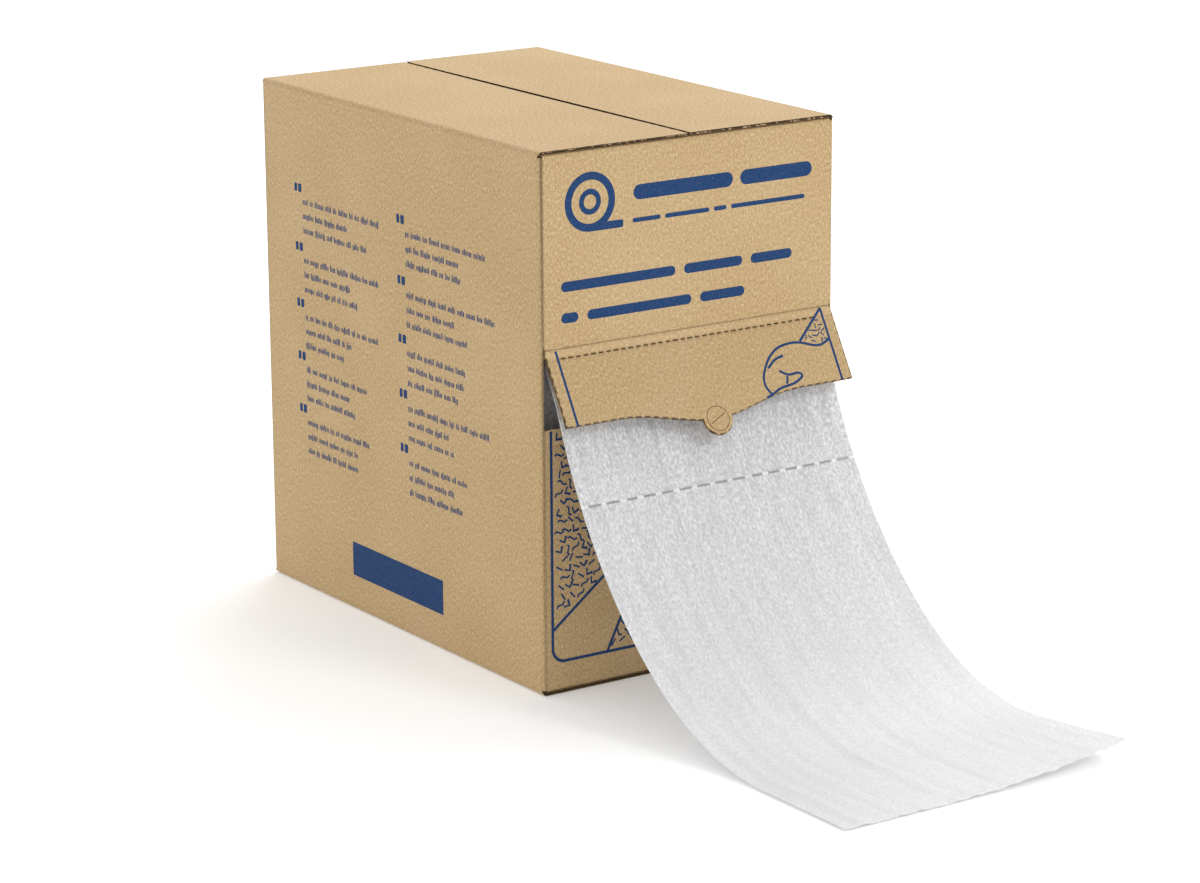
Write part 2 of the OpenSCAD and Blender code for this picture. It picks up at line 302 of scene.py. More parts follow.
class Sheetwork:
    """Collects skins into one mesh, with their places in the flat blank."""

    def __init__(self):
        self.corners, self.faces, self.blank, self.wear, self.finish = [], [], [], [], []

    def add(self, points, normals, blank, upper, lower, keep=None, wear=0.0, finish=0):
        columns, rows = points.shape[:2]
        grids = [points, normals, blank] + [
            np.broadcast_to(g, (columns, rows)) for g in (upper, lower, wear)]
        if not outward(points, normals):
            grids = [g[::-1] for g in grids]
            keep = None if keep is None else keep[::-1]
        points, normals, blank, upper, lower, wear = grids
        corners, faces = skin(points, normals, upper, lower, keep)
        used, faces = np.unique(faces, return_inverse=True)
        places = [np.concatenate([blank, d[..., None]], 2).reshape(-1, 3) for d in (upper, lower)]
        self.faces.append(faces.reshape(-1, 4) + sum(len(c) for c in self.corners))
        self.corners.append(corners[used])
        self.blank.append(np.concatenate(places)[used])
        self.wear.append(np.tile(wear.reshape(-1), 2)[used])
        self.finish.append(np.full(len(self.faces[-1]), finish))

    def build(self, name, *finishes):
        mesh = bpy.data.meshes.new(name)
        mesh.from_pydata(np.concatenate(self.corners).tolist(), [], np.concatenate(self.faces).tolist())
        for attribute, kind, key, values in (("blank", "FLOAT_VECTOR", "vector", self.blank),
                                             ("wear", "FLOAT", "value", self.wear)):
            layer = mesh.attributes.new(attribute, kind, "POINT")
            layer.data.foreach_set(key, np.concatenate(values).astype(np.float32).ravel())
        for finish in finishes:
            mesh.materials.append(finish)
        mesh.polygons.foreach_set("material_index", np.concatenate(self.finish))
        mesh.shade_smooth()
        mesh.set_sharp_from_angle(angle=math.radians(SHARP_FROM))
        made = bpy.data.objects.new(name, mesh)
        bpy.context.scene.collection.objects.link(made)
        print(f"{name}: {len(mesh.polygons)} faces")
        return made


print("sheetwork ready")

# %% [markdown]
# ## The board's own sizes
# The flutes of a carton run up and down its walls, and so along the depth of every flap. A column of the
# grid is a line along the flutes. The liners need a column only where their outline turns,
# but the fluting needs ten to each flute. No cut is quite straight either, so three sine waves of different
# length make a knife's unevenness, which comes out the same every time.

# %% Board
BOARD = 3 * MM
LINER = 0.45 * MM
FOLD = 4 * MM
COLUMNS_PER_FLUTE = 10
FOLD_STEPS = 7


def flute_depth(across):
    """How deep the fluting's upper side lies under the outer face."""
    room = BOARD - 3 * LINER
    return LINER + room * (1 - np.cos(2 * np.pi * across / FLUTE_PITCH)) / 2


def flute_columns(low, high):
    count = int(round((high - low) / FLUTE_PITCH * COLUMNS_PER_FLUTE))
    return np.linspace(low, high, count + 1)


def merged(*lists, apart=0.2 * MM):
    """Places from several lists in order, without those that nearly fall together."""
    places = np.sort(np.concatenate([np.atleast_1d(x) for x in lists]))
    return places[np.concatenate([[True], np.diff(places) > apart])]


rng = np.random.default_rng(7)


def tatter(along):
    """Small unevenness of a knife's cut, between -1 and 1."""
    return (np.sin(along * 910) + np.sin(along * 2130 + 1.3) + np.sin(along * 415 + 0.4)) / 3


print(f"a flute is {FLUTE_PITCH / MM:.1f} mm long and {(BOARD - 2 * LINER) / MM:.1f} mm high")

# %% [markdown]
# ## Lines of runs and bends
# Folded board is straight except at its creases, where it bends round a small radius. Its section is
# therefore drawn as one would walk it: a run, a bend, a run. Each place on the line is known by
# its distance from the start, which is also its distance in the flat blank.

# %% Walked lines
FADE = 1 * MM


class Walk:
    """A line of straight runs and round bends. Positive bends turn left."""

    def __init__(self, start, heading):
        self.legs, self.length = [], 0.0
        self.point, self.heading = np.array(start, float), math.radians(heading)

    def run(self, length):
        self.legs.append((self.length, length, self.point, self.heading, 0.0))
        self.point = self.point + length * np.array([math.cos(self.heading), math.sin(self.heading)])
        self.length += length
        return self

    def bend(self, degrees, radius):
        turn = math.radians(degrees)
        length, curve = abs(turn) * radius, math.copysign(1 / radius, turn)
        self.legs.append((self.length, length, self.point, self.heading, curve))
        new = self.heading + turn
        self.point = self.point + np.array([math.sin(new) - math.sin(self.heading),
                                            math.cos(self.heading) - math.cos(new)]) / curve
        self.length, self.heading = self.length + length, new
        return self

    def at(self, distances):
        """Points and headings at these distances from the start."""
        s = np.asarray(distances, float)
        points, angles = np.zeros((len(s), 2)), np.zeros(len(s))
        for start, length, point, heading, curve in self.legs:
            here = s >= start - 1e-9
            t = s[here] - start
            angle = heading + curve * t
            if curve:
                turned = (np.sin(angle) - math.sin(heading), math.cos(heading) - np.cos(angle))
                moved = np.stack(turned, 1) / curve
            else:
                moved = t[:, None] * [math.cos(heading), math.sin(heading)]
            points[here], angles[here] = point + moved, angle
        return points, np.stack([np.cos(angles), np.sin(angles)], 1)

    def bent(self, distances, fade=FADE):
        """1 in a bend, falling to 0 beside it."""
        s = np.asarray(distances, float)
        share = np.zeros(len(s))
        for start, length, _, _, curve in self.legs:
            if curve:
                away = np.maximum(np.maximum(start - s, s - start - length), 0)
                share = np.maximum(share, 1 - np.minimum(away / fade, 1))
        return share

    def stops(self, step):
        """The ends of every leg, with places between them in bends and on long runs."""
        places = [0.0]
        for start, length, _, _, curve in self.legs:
            count = FOLD_STEPS if curve else max(1, math.ceil(length / step))
            places.extend(start + length * (k + 1) / count for k in range(count))
            places.extend((start - FADE, start + length + FADE) if curve else ())
        return merged(np.clip(places, 0, self.length), apart=0.05 * MM)


print(f"a square fold takes {Walk((0, 0), 90).bend(90, FOLD).length / MM:.1f} mm of board")

# %% [markdown]
# ## The carton's walls
# The four walls are one strip of the blank, walked counterclockwise as seen from above: the glue tab, the
# back, the left side, the front and the right side, whose cut edge closes the tube over the tab.
# The opening in the front has a scalloped lower edge, with a round dip where the flap's tab was. One
# formula gives that edge for the wall and for the flap, since a single cut made both.

# %% Outline of the walls and edge of the opening
GLUE_TAB = 35 * MM
TAB_PLAY = 0.1 * MM
FLAP_LEN, FLAP_DIP, FLAP_SHOULDER = 71 * MM, 15 * MM, 51.5 * MM
TAB_R = 15 * MM
CUT_GAP = 0.5 * MM
FLAP_HALF_W = HALF_W - BOARD - CUT_GAP
NICK_PITCH, TUFT = 9 * MM, 0.35 * MM

side_run, front_run = 2 * (HALF_D - FOLD), 2 * (HALF_W - FOLD)
outline = Walk((HALF_W - BOARD - TAB_PLAY, HALF_D - FOLD - GLUE_TAB), 90).run(GLUE_TAB).bend(90, FOLD)
outline.run(front_run - BOARD - TAB_PLAY).bend(90, FOLD)
LEFT_FROM = outline.length
outline.run(side_run).bend(90, FOLD)
FRONT_FROM = outline.length
outline.run(front_run).bend(90, FOLD)
RIGHT_FROM = outline.length
outline.run(side_run + FOLD)
QUARTER_BEND = math.pi / 2 * FOLD
BACK_FROM = GLUE_TAB + QUARTER_BEND
FOLD_STARTS = (BACK_FROM, LEFT_FROM, FRONT_FROM, RIGHT_FROM)


def nick_beat(along):
    """0 at each nick that the knife leaves to hold the flap shut, 0.5 halfway between."""
    return np.abs((np.asarray(along) / NICK_PITCH) % 1 - 0.5)


def tufts(along):
    """The small torn bridges that the nicks leave."""
    return TUFT * np.clip(1 - nick_beat(along) / 0.12, 0, 1)


def cut_shade(along):
    """The dark dashes along the cut, between the nicks."""
    return np.clip((nick_beat(along) - 0.14) / 0.07, 0, 1)


def edge_drop(x):
    """How far the scalloped edge hangs below the crease, with the tab."""
    x = np.abs(x)
    dip_half = FLAP_HALF_W - FLAP_SHOULDER
    wave = ((1 + np.cos(np.pi * np.minimum(x / dip_half, 1))) / 2) ** 1.2
    edge = FLAP_LEN + FLAP_DIP * wave
    tab = FLAP_LEN + FLAP_DIP + np.sqrt(np.maximum(TAB_R ** 2 - x ** 2, 0))
    return np.where(x < TAB_R, np.maximum(edge, tab), edge)


ROOT_RUN = 2 * MM
tab_columns = TAB_R * np.sin(np.radians(np.arange(-90, 91, 7.5)))
edge_columns = merged(np.linspace(-HALF_W + FOLD, HALF_W - FOLD, 241), tab_columns)
print(f"the blank is {outline.length / MM:.0f} mm long round the walls")

# %% [markdown]
# ## Heights and painted shade of the walls
# The walls end 2 mm before the creases at the top and bottom. The flaps' own strips start there with a
# straight run, so that both meshes have the same normals where they meet and no line shows. Each upright
# fold carries a dark line of painted crease shade, which is stronger towards the top.

# %% Rows of the walls
work = Sheetwork()
INNER_TOP, OUTER_TOP = TOP - BOARD, TOP
# Painted shade: a faint darkening in every fold, and a dark line of crease shade in the upright folds.
FOLD_SHADE, CREASE_SHADE, CREASE_W, CREASE_AT_FOOT = 0.04, 0.76, 1.5 * MM, 0.35
EDGE_BAND = 1.4 * MM
LOW_ROW, CREASE_ROW = 8, 10


def wall_heights(across):
    """The heights of the wall's rows at each column, bottom to top."""
    x = across - FRONT_FROM - HALF_W + FOLD
    low = CREASE_Z - edge_drop(x) - CUT_GAP + tufts(x)
    low = np.where(np.abs(x) < FLAP_HALF_W, low, CREASE_Z - FLAP_LEN - CUT_GAP)
    levels = [5 * MM, 8 * MM, 9 * MM, 60 * MM, 120 * MM, 180 * MM, low - EDGE_BAND, low - EDGE_BAND / 2, low,
              CREASE_Z - 30 * MM, CREASE_Z + ROOT_RUN, 380 * MM, 440 * MM,
              TOP - 9 * MM, TOP - 8 * MM, TOP - 5 * MM]
    return np.stack([np.broadcast_to(z, across.shape) for z in levels], 1)


def wall_painted_shade(across):
    """Painted shade: folds a little darker, a dark crease line in them, and dashes along the opening's cut."""
    crease_shade_line = sum(np.exp(-((across - start + CREASE_W) / CREASE_W) ** 2) for start in FOLD_STARTS)
    shade_to_top = CREASE_AT_FOOT + (1 - CREASE_AT_FOOT) * wall_heights(across) / TOP
    wear = FOLD_SHADE * outline.bent(across)[:, None] + CREASE_SHADE * crease_shade_line[:, None] * shade_to_top
    x = across - FRONT_FROM - HALF_W + FOLD
    wear[:, LOW_ROW] += cut_shade(x) * (np.abs(x) < FLAP_HALF_W)
    return wear


def wall_place(across):
    points, headings = outline.at(across)
    z = wall_heights(across)
    shape = z.shape
    places = np.stack([np.broadcast_to(points[:, k:k + 1], shape) for k in (0, 1)] + [z], 2)
    normals = np.zeros((*shape, 3))
    normals[..., 0], normals[..., 1] = headings[:, 1:], -headings[:, :1]
    blank = np.stack([np.broadcast_to(across[:, None], shape), z], 2)
    return places, normals, blank, wall_painted_shade(across)


print(f"the creases are at {INNER_TOP / MM:.0f} and {OUTER_TOP / MM:.0f} mm, one board apart")

# %% [markdown]
# ## The walls themselves
# Panels end one board lower where the inner flaps' crease is than where the outer flaps' is, and corners
# reach past both. A mask over the grid's cells says which of them are board. Liners take columns where the
# outline turns; the fluting is added where a cut edge shows it, in the front and at the tube's last edge.

# %% Walls
def wall_keep(across):
    """Cells of the walls: corners reach higher than panels, and the opening is left out."""
    middle = (across[1:] + across[:-1]) / 2
    rows = len(wall_heights(across[:1])[0]) - 1
    keep = np.ones((len(middle), rows), bool)
    corner = outline.bent(middle, 0.01 * MM) > 0
    lengthwise = middle < GLUE_TAB
    for start, end in ((BACK_FROM, LEFT_FROM), (FRONT_FROM, RIGHT_FROM)):
        lengthwise |= (middle > start) & (middle < end - QUARTER_BEND)
    keep[np.ix_(~corner, [0, rows - 1])] = False
    keep[np.ix_(lengthwise, [1, rows - 2])] = False
    x = middle - FRONT_FROM - HALF_W + FOLD
    opened = np.abs(x) < FLAP_HALF_W + CUT_GAP
    keep[np.ix_(opened, range(LOW_ROW, CREASE_ROW))] = False
    return keep


opening_ends = FRONT_FROM + HALF_W - FOLD + np.array([-1, 1]) * (FLAP_HALF_W + CUT_GAP)
beside_folds = [start + CREASE_W * np.arange(-3, 2) for start in FOLD_STARTS]
wall_columns = merged(outline.stops(60 * MM), FRONT_FROM + HALF_W - FOLD + edge_columns, opening_ends,
                      *beside_folds, apart=0.05 * MM)
points, normals, blank, wear = wall_place(wall_columns)
for upper, lower in ((0.0, LINER), (BOARD - LINER, BOARD)):
    work.add(points, normals, blank, upper, lower, wall_keep(wall_columns), wear)
for low, high in ((FRONT_FROM, FRONT_FROM + front_run), (outline.length - 2 * FLUTE_PITCH, outline.length)):
    columns = flute_columns(low, high)
    points, normals, blank, _ = wall_place(columns)
    depth = flute_depth(blank[..., 0])
    work.add(points, normals, blank, depth, depth + LINER, wall_keep(columns), 0.0, 1)
print(f"walls: {len(wall_columns)} columns for the liners")

# %% [markdown]
# ## Flaps that fold in
# Every flap of the lid and of the base is made the same way: it leaves its wall straight up or down, bends
# inwards round the crease and runs on flat. The two inner flaps of each end are part of the body. The outer
# ones lie over them, so their crease is one board thickness further out. A wall's row gives its outward and
# sideways directions, its distance from the middle, its start in the blank and half its width.

# %% Places on a flap
WALLS = {"left": ((-1, 0), (0, -1), HALF_W, LEFT_FROM, HALF_D),
         "right": ((1, 0), (0, 1), HALF_W, RIGHT_FROM, HALF_D),
         "front": ((0, -1), (1, 0), HALF_D, FRONT_FROM, HALF_W),
         "back": ((0, 1), (-1, 0), HALF_D, BACK_FROM, HALF_W)}


def flap_place(wall, section, at_bottom, half_across, flare=0.0, ragged=0.0, bow=0.0):
    """The place function of a flap on that wall. section gives distance inwards and height."""
    out, sideways, away, first, half_wall = WALLS[wall]
    out, sideways = np.array([*out, 0.0]), np.array([*sideways, 0.0])

    def place(across, rows):
        line, headings = section.at(rows)
        start = line[0, 1]
        share = across / half_across
        at_side = np.clip(np.abs(share)[:, None] * 50 - 48.5, 0, 1)
        edge = np.clip((rows - ROOT_RUN) / FOLD, 0, 1) * flare + ragged * tatter(rows)
        sideway = across[:, None] + np.sign(share)[:, None] * at_side * edge
        at_end = np.clip((rows[None, :] - section.length) / (4 * MM) + 1.2, 0, 1)
        uneven = ragged * tatter(across + away) - bow * (1 - share ** 2)
        inwards = line[None, :, 0] + uneven[:, None] * at_end
        z = np.broadcast_to(TOP - line[:, 1] if at_bottom else line[:, 1], sideway.shape)
        points = out * (away - inwards[..., None]) + sideways * sideway[..., None]
        points = points + np.array([0, 0, 1.0]) * z[..., None]
        up = headings[:, 0] * (-1 if at_bottom else 1)
        normals = out * headings[:, 1][None, :, None] + np.array([0, 0, 1.0]) * up[None, :, None]
        along = (TOP - start - rows) if at_bottom else start + rows
        blank = np.stack([sideway + first + half_wall - FOLD, np.broadcast_to(along, sideway.shape)], 2)
        bent = np.broadcast_to(section.bent(rows), sideway.shape)
        return points, np.broadcast_to(normals, points.shape), blank, bent

    return place


print(f"flaps fold in from {len(WALLS)} walls")

# %% [markdown]
# ## Liners, fluting and crushed edges of a flap
# A knife that cuts board crushes the flutes beside the cut and leaves the paper torn. On the lid, where this
# is seen, the last flute is a strip of its own with random heights. The liners have a thin rim of painted
# shade there, and the fluting between the liners is painted dark as shade, with pale torn fibres at the edge.

# %% Folded flaps
# Painted shade on the liners' cut rim and on the fluting between the liners.
CUT_RIM, RIM_SHADE = 0.4 * MM, 0.95
FLUTING_SHADE = 0.95


def crushed_edge(work, place, half_across, rows):
    """The last strip of fluting beside both cuts, crushed by the knife and torn unevenly."""
    for side in (-1, 1):
        columns = side * (half_across - np.array([6, 4.5, 3, 1.5, 0]) * MM)
        points, normals, blank, _ = place(columns, rows)
        points[-1] += (points[-2] - points[-1]) * (0.1 + 0.35 * rng.random(len(rows)))[:, None]
        depth = flute_depth(blank[..., 0]) + 0.5 * MM * (rng.random(points.shape[:2]) - 0.5)
        depth = np.clip(depth, 1.2 * LINER, BOARD - 2.2 * LINER)
        # Painted shade over the crushed fluting; the pale specks at the very edge are torn fibres.
        wear = np.full(points.shape[:2], 1.0)
        wear[-1] = np.where(rng.random(len(rows)) < 0.3, -0.6, 0.9)
        work.add(points, normals, blank, depth, depth + LINER, None, wear, 1)


def fold_in(work, wall, crease, reach, half_across, at_bottom, flare=0.0, ragged=0.0, step=20 * MM,
            tilt=0.0, bow=0.0):
    """One flap with its liners and fluting. tilt lifts its end, and bow hollows its edge."""
    straight = ROOT_RUN if crease < TOP - BOARD / 2 else 2 * ROOT_RUN
    section = Walk((0, crease - FOLD - straight), 90).run(straight).bend(tilt - 90, FOLD).run(reach - FOLD)
    place = flap_place(wall, section, at_bottom, half_across, flare, ragged, bow)
    flat_from, rim_row = straight + QUARTER_BEND, section.length - CUT_RIM
    rows = merged(section.stops(step), rim_row)
    near_side = half_across - np.array([7 * MM, 2.3 * MM, CUT_RIM])
    columns = merged(np.linspace(-half_across, half_across, 97 if ragged else 9), near_side, -near_side)
    points, normals, blank, bent = place(columns, rows)
    rim = (np.abs(columns)[:, None] > half_across - CUT_RIM / 2) | (rows > section.length - CUT_RIM / 2)
    for upper, lower in ((0.0, LINER), (BOARD - LINER, BOARD)):
        # Painted shade in the fold and on the cut rim.
        work.add(points, normals, blank, upper, lower, None, FOLD_SHADE * bent + RIM_SHADE * rim)
    inside = half_across - (6 if ragged else 0.3) * MM
    flat = np.array([flat_from, section.length - 0.5 * MM])
    points, normals, blank, _ = place(flute_columns(-inside, inside), flat)
    depth = flute_depth(blank[..., 0])
    # Painted shade on the fluting, which lies between the liners.
    work.add(points, normals, blank, depth, depth + LINER, None, FLUTING_SHADE, 1)
    if ragged:
        crushed_edge(work, place, half_across, np.arange(flat_from, section.length - MM, 1.6 * MM))


INNER_REACH = HALF_W
LID_SEAM, BASE_SEAM = 2.4 * MM, 0.5 * MM
FLARE = 3 * MM
for at_bottom in (False, True):
    for wall in ("front", "back"):
        fold_in(work, wall, INNER_TOP, INNER_REACH, HALF_W - FOLD, at_bottom)
for wall in ("left", "right"):
    fold_in(work, wall, OUTER_TOP, HALF_W - BASE_SEAM / 2, HALF_D - FOLD, True, flare=FLARE)
carton_shell = work.build("carton_shell", kraft, fluting)
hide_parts("carton_body")
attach(carton_shell, "carton")

# %% [markdown]
# ## The lid
# The two outer flaps meet over the middle of the carton and leave a narrow dark seam. No lid closes quite
# true: the left flap's edge is a little hollow and the right one stands up by a hair. Each is one piece of
# board with the top of its side wall, so its crease has to bend when the flap is lifted.

# %% Lid flaps
RAGGED = 0.45 * MM
LID_TILT = {"left": 0.0, "right": 0.16}
LID_BOW = {"left": 1.5 * MM, "right": 0.0}
for wall, side in (("left", -1), ("right", 1)):
    lid_work = Sheetwork()
    fold_in(lid_work, wall, OUTER_TOP, HALF_W - LID_SEAM / 2, HALF_D - FOLD, False, FLARE, RAGGED, 5 * MM,
            LID_TILT[wall], LID_BOW[wall])
    lid = lid_work.build(f"{wall}_lid_board", kraft, fluting)
    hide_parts(f"top_{wall}_flap")
    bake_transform(lid)

# %% [markdown]
# ## The dispenser flap
# The flap was cut out of the front, so it has the same scalloped edge as the opening under it, and its
# flutes run down it. It hangs from one crease and has a second one just below, cut in short slits. Rows of
# the grid follow both creases and then share out what is left down to the edge.

# %% Rows of the dispenser flap
FLAP_OPEN = 30
CREASE_R = 4 * MM
SECOND_CREASE = 9 * MM
SLIT_LEN, SLIT_PITCH, SLIT_W, SLIT_MARGIN = 4.5 * MM, 8 * MM, 0.7 * MM, 17 * MM
crease_set = CREASE_R * math.tan(math.radians(FLAP_OPEN / 2))
flap_section = Walk((-HALF_D, CREASE_Z + ROOT_RUN), -90).run(ROOT_RUN - crease_set)
flap_section.bend(-FLAP_OPEN, CREASE_R)
HANG_FROM = flap_section.length - crease_set
flap_section.run(FLAP_LEN + FLAP_DIP + TAB_R)
slit_centres = np.arange(-FLAP_HALF_W + SLIT_MARGIN, FLAP_HALF_W - SLIT_MARGIN + MM, SLIT_PITCH)


def hanging_rows(x, steps):
    """Distances along the flap's section: the root, both creases and on to each column's edge."""
    edge = HANG_FROM + (edge_drop(x) + tufts(x))[:, None]
    to_fold = np.concatenate([[0.0], np.linspace(ROOT_RUN - crease_set, HANG_FROM + crease_set, 8)])
    slit = HANG_FROM + SECOND_CREASE + np.array([-1, 1]) * SLIT_W / 2
    between = HANG_FROM + np.array([3, 4.5, 6, 7.2, 8.1]) * MM
    fixed = np.concatenate([to_fold, between, slit, slit[1:] + 0.6 * MM])
    share = np.linspace(0, 1, steps + 1)[1:]
    rest = fixed[-1] + (edge - EDGE_BAND - fixed[-1]) * share[None, :]
    start = np.broadcast_to(fixed, (len(x), len(fixed)))
    rows = np.concatenate([start, rest, edge - EDGE_BAND / 2, edge], 1)
    return rows, len(fixed) - 3


def hanging_place(x, steps):
    rows, _ = hanging_rows(x, steps)
    line, headings = flap_section.at(rows.ravel())
    line, headings = line.reshape(*rows.shape, 2), headings.reshape(*rows.shape, 2)
    points = np.stack([np.broadcast_to(x[:, None], rows.shape), line[..., 0], line[..., 1]], 2)
    normals = np.stack([np.zeros(rows.shape), headings[..., 1], -headings[..., 0]], 2)
    across = FRONT_FROM + HALF_W - FOLD + x[:, None] + np.zeros(rows.shape)
    blank = np.stack([across, CREASE_Z + ROOT_RUN - rows], 2)
    return points, normals, blank, rows


def hanging_keep(x, steps):
    rows, slit_row = hanging_rows(x, steps)
    keep = np.ones((len(x) - 1, rows.shape[1] - 1), bool)
    middle = (x[1:] + x[:-1]) / 2
    keep[np.abs(middle[:, None] - slit_centres[None, :]).min(1) < SLIT_LEN / 2, slit_row] = False
    return keep


print(f"{len(slit_centres)} slits in the second crease")

# %% [markdown]
# ## Painted shade and meshes of the flap
# The flap is painted a little darker as shade. Both creases carry painted shade, the second in dashes, and
# the board between them a painted highlight. Dashes of painted shade follow the cut edges. The outer liner
# is pressed in along the crease.

# %% Dispenser flap
# Painted shade over the flap and in its creases, slits and cuts; a painted highlight between the creases.
FLAP_PAINTED_SHADE, BETWEEN_CREASES_PAINTED_HIGHLIGHT, IN_SLIT, BETWEEN_SLITS = 0.07, 0.14, 0.95, 0.15
HINGE_SHADE, PRESSED_IN = 0.6, 0.3 * MM


def hanging_painted_light(x, hang):
    """Painted shade in two creases and over the flap, a painted highlight between the creases, and dashes of
    painted shade along the cut edges.
    """
    hinge = HINGE_SHADE * np.exp(-(hang / (0.6 * MM)) ** 2)
    middle = np.exp(-((hang - SECOND_CREASE / 2) / (2.4 * MM)) ** 2)
    flap_painted_light = FLAP_PAINTED_SHADE * (hang > SECOND_CREASE) - BETWEEN_CREASES_PAINTED_HIGHLIGHT * middle
    in_slit = np.abs(x - slit_centres).min(1, keepdims=True) < SLIT_LEN / 2 + 0.05 * MM
    dashes = np.where(in_slit, IN_SLIT, BETWEEN_SLITS)
    second = dashes * np.exp(-((hang - SECOND_CREASE) / (0.9 * MM)) ** 2)
    to_low = np.clip(1.4 - 1.4 * (hang[:, -1:] - hang) / EDGE_BAND, 0, 1)
    to_side = np.clip(1.4 - 1.4 * (FLAP_HALF_W - np.abs(x)) / EDGE_BAND, 0, 1)
    return hinge + flap_painted_light + second + np.maximum(to_low * cut_shade(x), to_side * cut_shade(hang))


slit_ends = np.concatenate([slit_centres - SLIT_LEN / 2, slit_centres + SLIT_LEN / 2])
side_edge = np.concatenate([side * (FLAP_HALF_W - np.array([0.5, 1]) * EDGE_BAND) for side in (-1, 1)])
flap_columns = merged(np.linspace(-FLAP_HALF_W, FLAP_HALF_W, 221), tab_columns, slit_ends, side_edge)
flap_work = Sheetwork()
for upper, lower, steps in ((0.0, LINER, 30), (BOARD - LINER, BOARD, 6)):
    points, normals, blank, rows = hanging_place(flap_columns, steps)
    hang = rows - HANG_FROM
    wear = hanging_painted_light(flap_columns[:, None], hang)
    if upper == 0.0:
        upper = PRESSED_IN * np.exp(-(hang / (0.9 * MM)) ** 2)
        lower = LINER + upper
    flap_work.add(points, normals, blank, upper, lower, hanging_keep(flap_columns, steps), wear)
columns = flute_columns(-FLAP_HALF_W + 0.4 * MM, FLAP_HALF_W - 0.4 * MM)
points, normals, blank, _ = hanging_place(columns, 3)
depth = flute_depth(blank[..., 0])
# Painted shade on the fluting between the liners.
flap_work.add(points, normals, blank, depth, depth + LINER, hanging_keep(columns, 3), 0.5, 1)
flap_board = flap_work.build("dispenser_flap_board", kraft, fluting)
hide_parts("dispenser_flap")
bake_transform(flap_board)

# %% [markdown]
# ## Foam film
# The film is closed-cell polyethylene foam, one millimetre thick, white and a little see-through. Close up
# it is a mosaic of small round cells, cloudy in streaks along its length, and the cells catch the light. The
# cells are a Voronoi pattern, squeezed a little across the film, because the foam was drawn as it was made.
# The grey streaks and mottle are the foam's own cloudiness and, where they are strong under the flap,
# painted shade; towards the free end they give way to an even, lighter tone. Its coordinates are stored with
# the mesh too: across the film and along it.

# %% Foam film finish
FILM_WHITE = (0.845, 0.843, 0.847)
FILM_CALM_UNSHADED = (0.755, 0.755, 0.767)
SHADE_FADE_OVER = (200 * MM, 520 * MM)
FILM_GREY = (0.42, 0.425, 0.445)
FILM_SLIT_SHADE = (0.33, 0.33, 0.34)
PURE_WHITE = (1, 1, 1)


def foam_finish(name, opacity, glow, calm_unshaded=(0.0, 0.0)):
    """Foam film. glow is how much light passes through its cells; the pair for its two ends is how far its
    mottle and painted shade give way to an even, lighter tone.
    """
    finish, tree, shader = new_finish(name, 0.42, 0.4)
    flat = add_node(tree, "ShaderNodeAttribute", {"attribute_name": "blank"}).outputs["Vector"]
    drawn = stretched(tree, flat, (1.25, 0.85, 1))
    cells = add_node(tree, "ShaderNodeTexVoronoi", {"feature": "SMOOTH_F1"}, Vector=drawn, Scale=430.0,
                     Smoothness=0.5).outputs["Distance"]
    bands = noise(tree, stretched(tree, flat, (62, 3.5, 40)), 1.0, 2.0, 0.5)
    streaks = noise(tree, stretched(tree, flat, (150, 22, 40)), 1.0, 4.0, 0.6)
    mottle = noise(tree, stretched(tree, flat, (460, 230, 200)), 1.0, 4.0, 0.7)
    # Grey streaks and mottle: the foam's own cloudiness, strengthened as painted shade under the flap.
    colour = tinted(tree, FILM_WHITE,
                    (bands, 0.42, 0.62, 0.22, FILM_GREY),
                    (streaks, 0.45, 0.72, 0.52, FILM_GREY),
                    (mottle, 0.45, 0.68, 1.0, FILM_GREY),
                    (mottle, 0.44, 0.32, 0.90, PURE_WHITE),
                    (cells, 0.25, 0.75, 0.30, FILM_GREY))
    along = add_node(tree, "ShaderNodeSeparateXYZ", Vector=flat).outputs[1]
    # Painted shade fades along the film: towards the free end the colour turns even and a little lighter.
    colour = mix_colours(tree, spread(tree, along, *SHADE_FADE_OVER, *calm_unshaded), colour, FILM_CALM_UNSHADED)
    wear = add_node(tree, "ShaderNodeAttribute", {"attribute_name": "wear"}).outputs["Fac"]
    # Painted shade rims the perforation's slits grey, and the film between them is painted lighter.
    colour = tinted(tree, colour, (wear, 0.0, 1.0, 1.0, FILM_SLIT_SHADE), (wear, 0.0, -1.0, 1.0, PURE_WHITE))
    tree.links.new(colour, shader.inputs["Base Color"])
    tree.links.new(spread(tree, cells, 0.2, 0.7, 0.28, 0.62), shader.inputs["Roughness"])
    height = maths(tree, "ADD", maths(tree, "MULTIPLY", cells, -0.7), maths(tree, "MULTIPLY", mottle, 0.8))
    bump = add_node(tree, "ShaderNodeBump", Height=height, Strength=0.6, Distance=0.5 * MM)
    tree.links.new(bump.outputs["Normal"], shader.inputs["Normal"])
    shader.inputs["Subsurface Weight"].default_value = glow
    shader.inputs["Subsurface Radius"].default_value = (1, 1, 1)
    shader.inputs["Subsurface Scale"].default_value = 2 * MM
    shader.inputs["Alpha"].default_value = opacity
    return finish


foam = foam_finish("foam_film", 0.9, 0.5, (0.0, 0.7))
foam_wound = foam_finish("wound_foam_film", 1.0, 0.2)
print("foam film made")

# %% [markdown]
# ## The wound film
# Inside the carton lies the roll. From outside one sees little of it, but with the lid open its ends show
# the turns, which never lie quite even. The roll is one closed skin turned about its axis: up one end over the
# edges of its turns, across the width and down the other end. It is soft, so it is flat underneath where
# it rests on the base.

